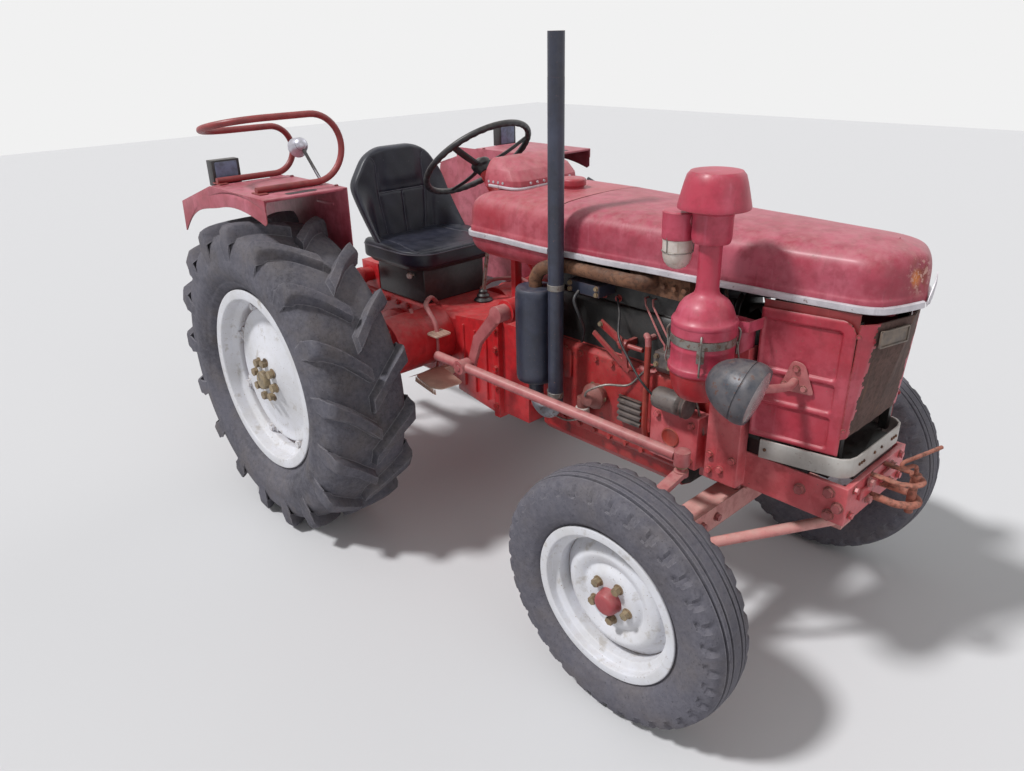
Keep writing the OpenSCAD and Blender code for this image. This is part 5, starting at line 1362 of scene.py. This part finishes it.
def frame_pieces():
    me = rounded(kept("front_frame", lambda x, y, z: x < 1868.6), 3)
    piece("front_frame_dressed", me, red_frame, "front_frame", 32)
    loops = []
    for z, r, flat in ((592, 9.8, 0.95), (650, 9.6, 0.5)):
        bow = [(1945 + 30 * sin(a), -30 * cos(a), z) for a in (pi * k / 12 for k in range(1, 12))]
        loops.append(pipe([(x, -38, z) for x in (1860, 1900, 1937)] + bow + [(x, 38, z) for x in (1937, 1900, 1860)],
                          r, 14, 3, flat))
    piece("tow_loops", joined(*loops), loop_rust, "front_frame", 50)
    pin = lathe([(0, 562), (10, 562), (10.8, 564), (10.8, 664), (14, 665), (14, 671), (0, 672)], 28)
    hook = pipe([(1957.7, 0, 664), (1957.2, -4, 690), (1953, -20, 700), (1945, -40, 700), (1939, -52, 707),
                 (1941, -50, 718), (1951, -26, 722), (1963, 30, 720), (1975, 92, 717)], 5.2, 12, 8)
    piece("tow_pin", joined(moved(pin, spot(1957.7, 0, 0)), hook), loop_rust, None, 50)
    straps = [slab(oblong(13, 45, 4), 8, facing(at(1872.3, s * 62, 616), (1, 0, 0), 90), 2) for s in BOTH]
    piece("tow_straps", joined(*straps), red_frame)
    spots = [(at(1876, s * 62, z), (1, 0, 0)) for s in BOTH for z in (592, 640)]
    bolts("tow_bolts", spots, 18, 11, pink_linkage, 23)
    spots = [(at(x, s * 167.3, z), (0, s, 0)) for s in BOTH
             for x, z in ((1748, 612), (1823, 634), (1849, 600), (1829, 572))]
    bolts("frame_bolts", spots, 22, 13, pink_linkage, 17)
    spots = [(at(x, -210.4, z), (0, -1, 0)) for x, z in ((1506, 636), (1540, 600), (1506, 588), (1575, 640))]
    spots += [(at(1868.4, s * y, z), (1, 0, 0)) for s in BOTH for y, z in ((130, 642), (140, 575))]
    spots += [(at(x, s * 206.4, z), (0, s, 0)) for s in BOTH for x in (1325, 1440) for z in (585, 695)]
    bolts("frame_small_bolts", spots, 16, 10, red_frame, 18)
    # round cover let into the engine bracket
    ring = lathe([(0, -4), (26, -4), (30, 1), (26, 3), (22, 0), (0, 0)], 40)
    piece("bracket_cover", moved(ring, facing(at(1372, -206.2, 634), (0, -1, 0))), filler_red)


def cooling_pieces():
    """Radiator, fan and top hose, seen through the gap under the bonnet; the radiator, fan shroud and fan are near
    black as painted shade there.
    """
    ahead = (1, 0, 0)
    piece("radiator_dressed", rounded(kept("radiator"), 2), shade_black_iron, "radiator", 32)
    # a near-black shroud fills the see-through behind the radiator with painted shade
    shroud = lathe([(150, 1560), (153, 1560), (156, 1575), (172, 1590), (174, 1606), (170, 1606), (166, 1592),
                    (152, 1578)])
    piece("fan_shroud", moved(shroud, facing(at(0, 0, 905), ahead)), shade_black_iron, None, 40)
    hub = lathe([(0, 1398), (40, 1398), (40, 1430), (22, 1436), (22, 1446), (60, 1446), (60, 1449), (50, 1455),
                 (60, 1461), (60, 1464), (20, 1468), (30, 1512), (30, 1530), (0, 1530)], 48, 1, 2)
    blades = [slab(filleted([(-42, 26), (42, 26), (56, 146), (-56, 146)], 12), 3,
                   Matrix.Rotation(k * pi / 2 + 0.4, 4, "Z") @ Matrix.Translation((0, 0, 1.521)) @ turn(25, "Y"), 0.8)
              for k in range(4)]
    piece("fan_and_pulley", moved(joined(hub, *blades), facing(at(0, 0, 985), ahead)), shade_black_iron, None, 40)
    hose = pipe([(1614, 0, 1052), (1560, 0, 1058), (1480, -4, 1050), (1430, -6, 1030), (1388, -6, 1022)], 25, 18)
    piece("top_hose", hose, wheel_plastic, None, 50)
    clips = [moved(lathe([(25.2, -6), (26.5, -5), (26.5, 5), (25.2, 6)], 30), facing(at(*place), way))
             for place, way in (((1600, 0, 1053), (1, 0, -0.1)), ((1402, -6, 1024), (1, 0, 0.2)))]
    piece("hose_clips", joined(*clips), bare_steel)
    fins = [slab(oblong(140, 0.6), 4, facing(at(x, 0, 715 + 8 * k), ahead, 90), 0)
            for k in range(42) for x in (1611, 1701)]
    piece("radiator_fins", joined(*fins), aux_iron)


def axle_pieces():
    softened("front_axle", pink_axle, 6, 3)
    spots = [(at(1490 + dx, s * 60, 466.3), (0, 0, 1)) for s in BOTH for dx in (-22, 22)]
    spots += [(at(1526.4, s * y, 430), (1, 0, 0)) for s in BOTH for y in (180, 250, 320)]
    bolts("axle_bolts", spots, 19, 12, pink_linkage, 19)
    nut = lathe([(0, 0), (16, 0), (19, 3), (19, 10), (10, 16), (0, 18)], 24, 2)
    piece("link_nut", moved(nut, spot(1485, -310, 627)), grease_nuts, None, 40, "knuckle_r")


def gearbox_pieces():
    for name, width, segments in (("gearbox_housing", 6, 3), ("steering_box", 5, 3), ("rear_axle_housing", 3, 2)):
        softened(name, red_casting, width, segments)
    spots = [(at(654, s * 219.4, z), (0, s, 0)) for s in BOTH for z in (500, 570, 640, 710, 780)]
    spots += [(at(639.6, s * y, 806), (-1, 0, 0)) for s in BOTH for y in (60, 140, 190)]
    spots += [(at(x, s * 150.4, 716), (0, s, 0)) for s in BOTH for x in range(-210, 130, 68)]
    spots += [(at(252 + 84 * cos(a), s * 400.4, 655 + 84 * sin(a)), (0, s, 0))
              for s in BOTH for a in (k * pi / 3 for k in range(6))]
    spots += [(at(740 + dx, -95.4, 900 + dz), (0, -1, 0)) for dx in (-34, 34) for dz in (-26, 26)]
    bolts("gearbox_bolts", spots, 17, 10, red_casting, 20)
    ribs, rods = [], []
    for s in BOTH:
        ribs += [slab(oblong(4, 120), 10, facing(at(x, s * (152 + 55 * (x - 362) / 280), 610), (-0.19, s, 0)), 2)
                 for x in (420, 500, 580)]
        rods.append(pipe([(372, s * 250, 712), (380, s * 254, 660), (372, s * 252, 610), (340, s * 235, 566)], 6, 10))
        rods.append(pipe([(330, s * 262, 640), (300, s * 268, 700), (262, s * 270, 752),
                          (240, s * 262, 766)], 8, 10, 6, 0.6))
    piece("gearbox_ribs", joined(*ribs), red_casting)
    piece("brake_rods", joined(*rods), pink_linkage, None, 50)


def guard_skirt(s):
    """Outer flange of a mudguard: straight along the top, arched over the tyre, round at its front corner."""
    verts, rows, xs = [], 7, [203 - 13.22 * k for k in range(51)]
    for x in xs:
        radius = 612 + 48 * ease((-x - 120) / 300)
        low = 568 + sqrt(radius ** 2 - x ** 2) + 14 * (1 - sqrt(max(0.0, 1 - ((max(x, 183) - 183) / 20) ** 2)))
        top = 1229 if x > -186 else 1229 - 40.5 * (-186 - x) / 134 if x > -320 else 1188.5 - 41 * (-320 - x) / 138
        for t in (k / (rows - 1) for k in range(rows)):
            verts.append(at(x, s * (754.6 - 7 * ease((t - 0.75) / 0.25) * t + 1.2 * sin(x * 0.02 + t)),
                            low + (top - 2 - low) * t))
    return sheet(open_sheet(verts, len(xs), rows, 1, s), 3)


def guard_pieces():
    for s in BOTH:
        side = SIDE_NAME[s]
        softened(f"mudguard_{side}", red_sheet, 1.5)
        apron = filleted([(-200, 1226.5), (-456, 1147.5), (-462, 1010), (-430, 945), (-334, 862), (-200, 862)], 20)
        apron = slab(apron, 3, spot(0, s * 456.8, 0) @ turn(90, "X"), 0.8)
        piece(f"guard_apron_{side}", apron, red_sheet, None, 40)
        piece(f"guard_flange_{side}", guard_skirt(s), red_sheet, None, 40)
        front = swept([at(202, s * y, 1228) for y in (752, 740, 600, 470)], 4.5, 10)
        rib = slab(oblong(55, 6), 8, facing(at(60, s * 458, 1165), (0, s, 0)), 3)
        piece(f"guard_edge_{side}", joined(front, rib), red_sheet, None, 50)
        # the slot is a thin near-black sheet on the guard: painted shade of the opening
        slot = slab(oblong(16, 55, 15.5, 8), 0.8, spot(160, s * 600, 1232.5), 0)
        piece(f"guard_slot_shade_{side}", slot, dial_paint, None, 50)
        bolts(f"guard_bolts_{side}", [(at(x, s * 462, 1232.4), (0, 0, 1)) for x in (-150, 150)], 10, 4, red_sheet, 21)


def plain_pieces():
    for name, body, paint, slot, width in (
            ("seat_base", "chassis", box_plastic, BLACK, 6),
            ("drawbar", "chassis", red_casting, RED, 3),
            ("pto_shaft", "chassis", bare_steel, "shaft_steel", 1),
            ("knuckle_right", "knuckle_r", pink_linkage, PINK, 3),
            ("knuckle_left", "knuckle_l", pink_linkage, PINK, 3),
            ("drop_arm", "drop_arm_body", pink_linkage, PINK, 3),
            ("drag_link", "drag_link_body", pink_linkage, PINK, 2),
            ("track_rod", "track_rod_body", pink_linkage, PINK, 1),
            ("lift_arms", "lift_arms_body", red_casting, RED, 3),
            ("lift_rods", "lift_rods_body", pink_linkage, RED, 1),
            ("lower_links", "lower_links_body", red_casting, RED, 3)):
        softened(name, paint, width, body=body)
    splines = [slab(oblong(1.6, 28), 3, spot(-332, 0, 560) @ turn(30 * k, "X") @ Matrix.Translation((0, 0, 0.0175))
                    @ turn(90, "Z"), 0) for k in range(12)]
    piece("shaft_splines", joined(*splines), bare_steel)


# ---------------------------------------------------------------- room, light and camera

def room():
    floor_me = mesh_of([(-14, -14, 0), (14, -14, 0), (14, 14, 0), (-14, 14, 0)], [(0, 1, 2, 3)])
    floor = bpy.data.objects.new("floor", floor_me)
    scene.collection.objects.link(floor)
    mat = bpy.data.materials.new("pale floor")
    mat.use_nodes = True
    shader = mat.node_tree.nodes["Principled BSDF"]
    shader.inputs["Base Color"].default_value = Finish.tone(208, 208, 210)
    shader.inputs["Roughness"].default_value = 0.9
    floor_me.materials.append(mat)
    # the room looks lighter to the camera and in reflections than it shines
    world = bpy.data.worlds.new("pale room")
    world.use_nodes = True
    t = world.node_tree
    back, path = t.nodes["Background"], node(t, "ShaderNodeLightPath")
    back.inputs["Color"].default_value = (1, 1, 1, 1)
    seen = calc(t, "MAXIMUM", path.outputs["Is Camera Ray"], path.outputs["Is Glossy Ray"])
    wire(t, (calc(t, "ADD", calc(t, "MULTIPLY", seen, 0.54), 0.34), back.inputs["Strength"]))
    scene.world = world
    for label, energy, place, angle in (("key", 2.75, (-1.0, -2.2, 3.4), 7), ("fill", 0.4, (3.0, -0.6, 1.4), 40),
                                        ("back light", 0.35, (0.4, 3.0, 2.0), 40)):
        lamp = bpy.data.lights.new(label, "SUN")
        lamp.energy, lamp.angle = energy, radians(angle)
        ob = bpy.data.objects.new(label, lamp)
        ob.matrix_world = facing(place, place)
        scene.collection.objects.link(ob)
    cam = bpy.data.cameras.new("camera")
    cam.sensor_width, cam.lens = 36, 27.647
    ob = bpy.data.objects.new("camera", cam)
    ob.matrix_world = Matrix(((0.68510, -0.28355, 0.67100, 1.9145), (0.72814, 0.29357, -0.61938, -1.86475),
                              (-0.02136, 0.91292, 0.40759, 1.68332), (0, 0, 0, 1)))
    scene.collection.objects.link(ob)
    scene.camera = ob
    scene.view_settings.view_transform = "Standard"


for make in (room, rear_wheels, front_wheels, bonnet_piece, trims, tank_piece, seat_pieces, steering_wheel_piece,
             cowl_details, pedal_details, step_details, rail_piece, lamp_pieces, engine_pieces, exhaust_pieces,
             air_pieces, panel_pieces, nose_pieces, frame_pieces, cooling_pieces, axle_pieces, gearbox_pieces,
             guard_pieces, plain_pieces):
    make()
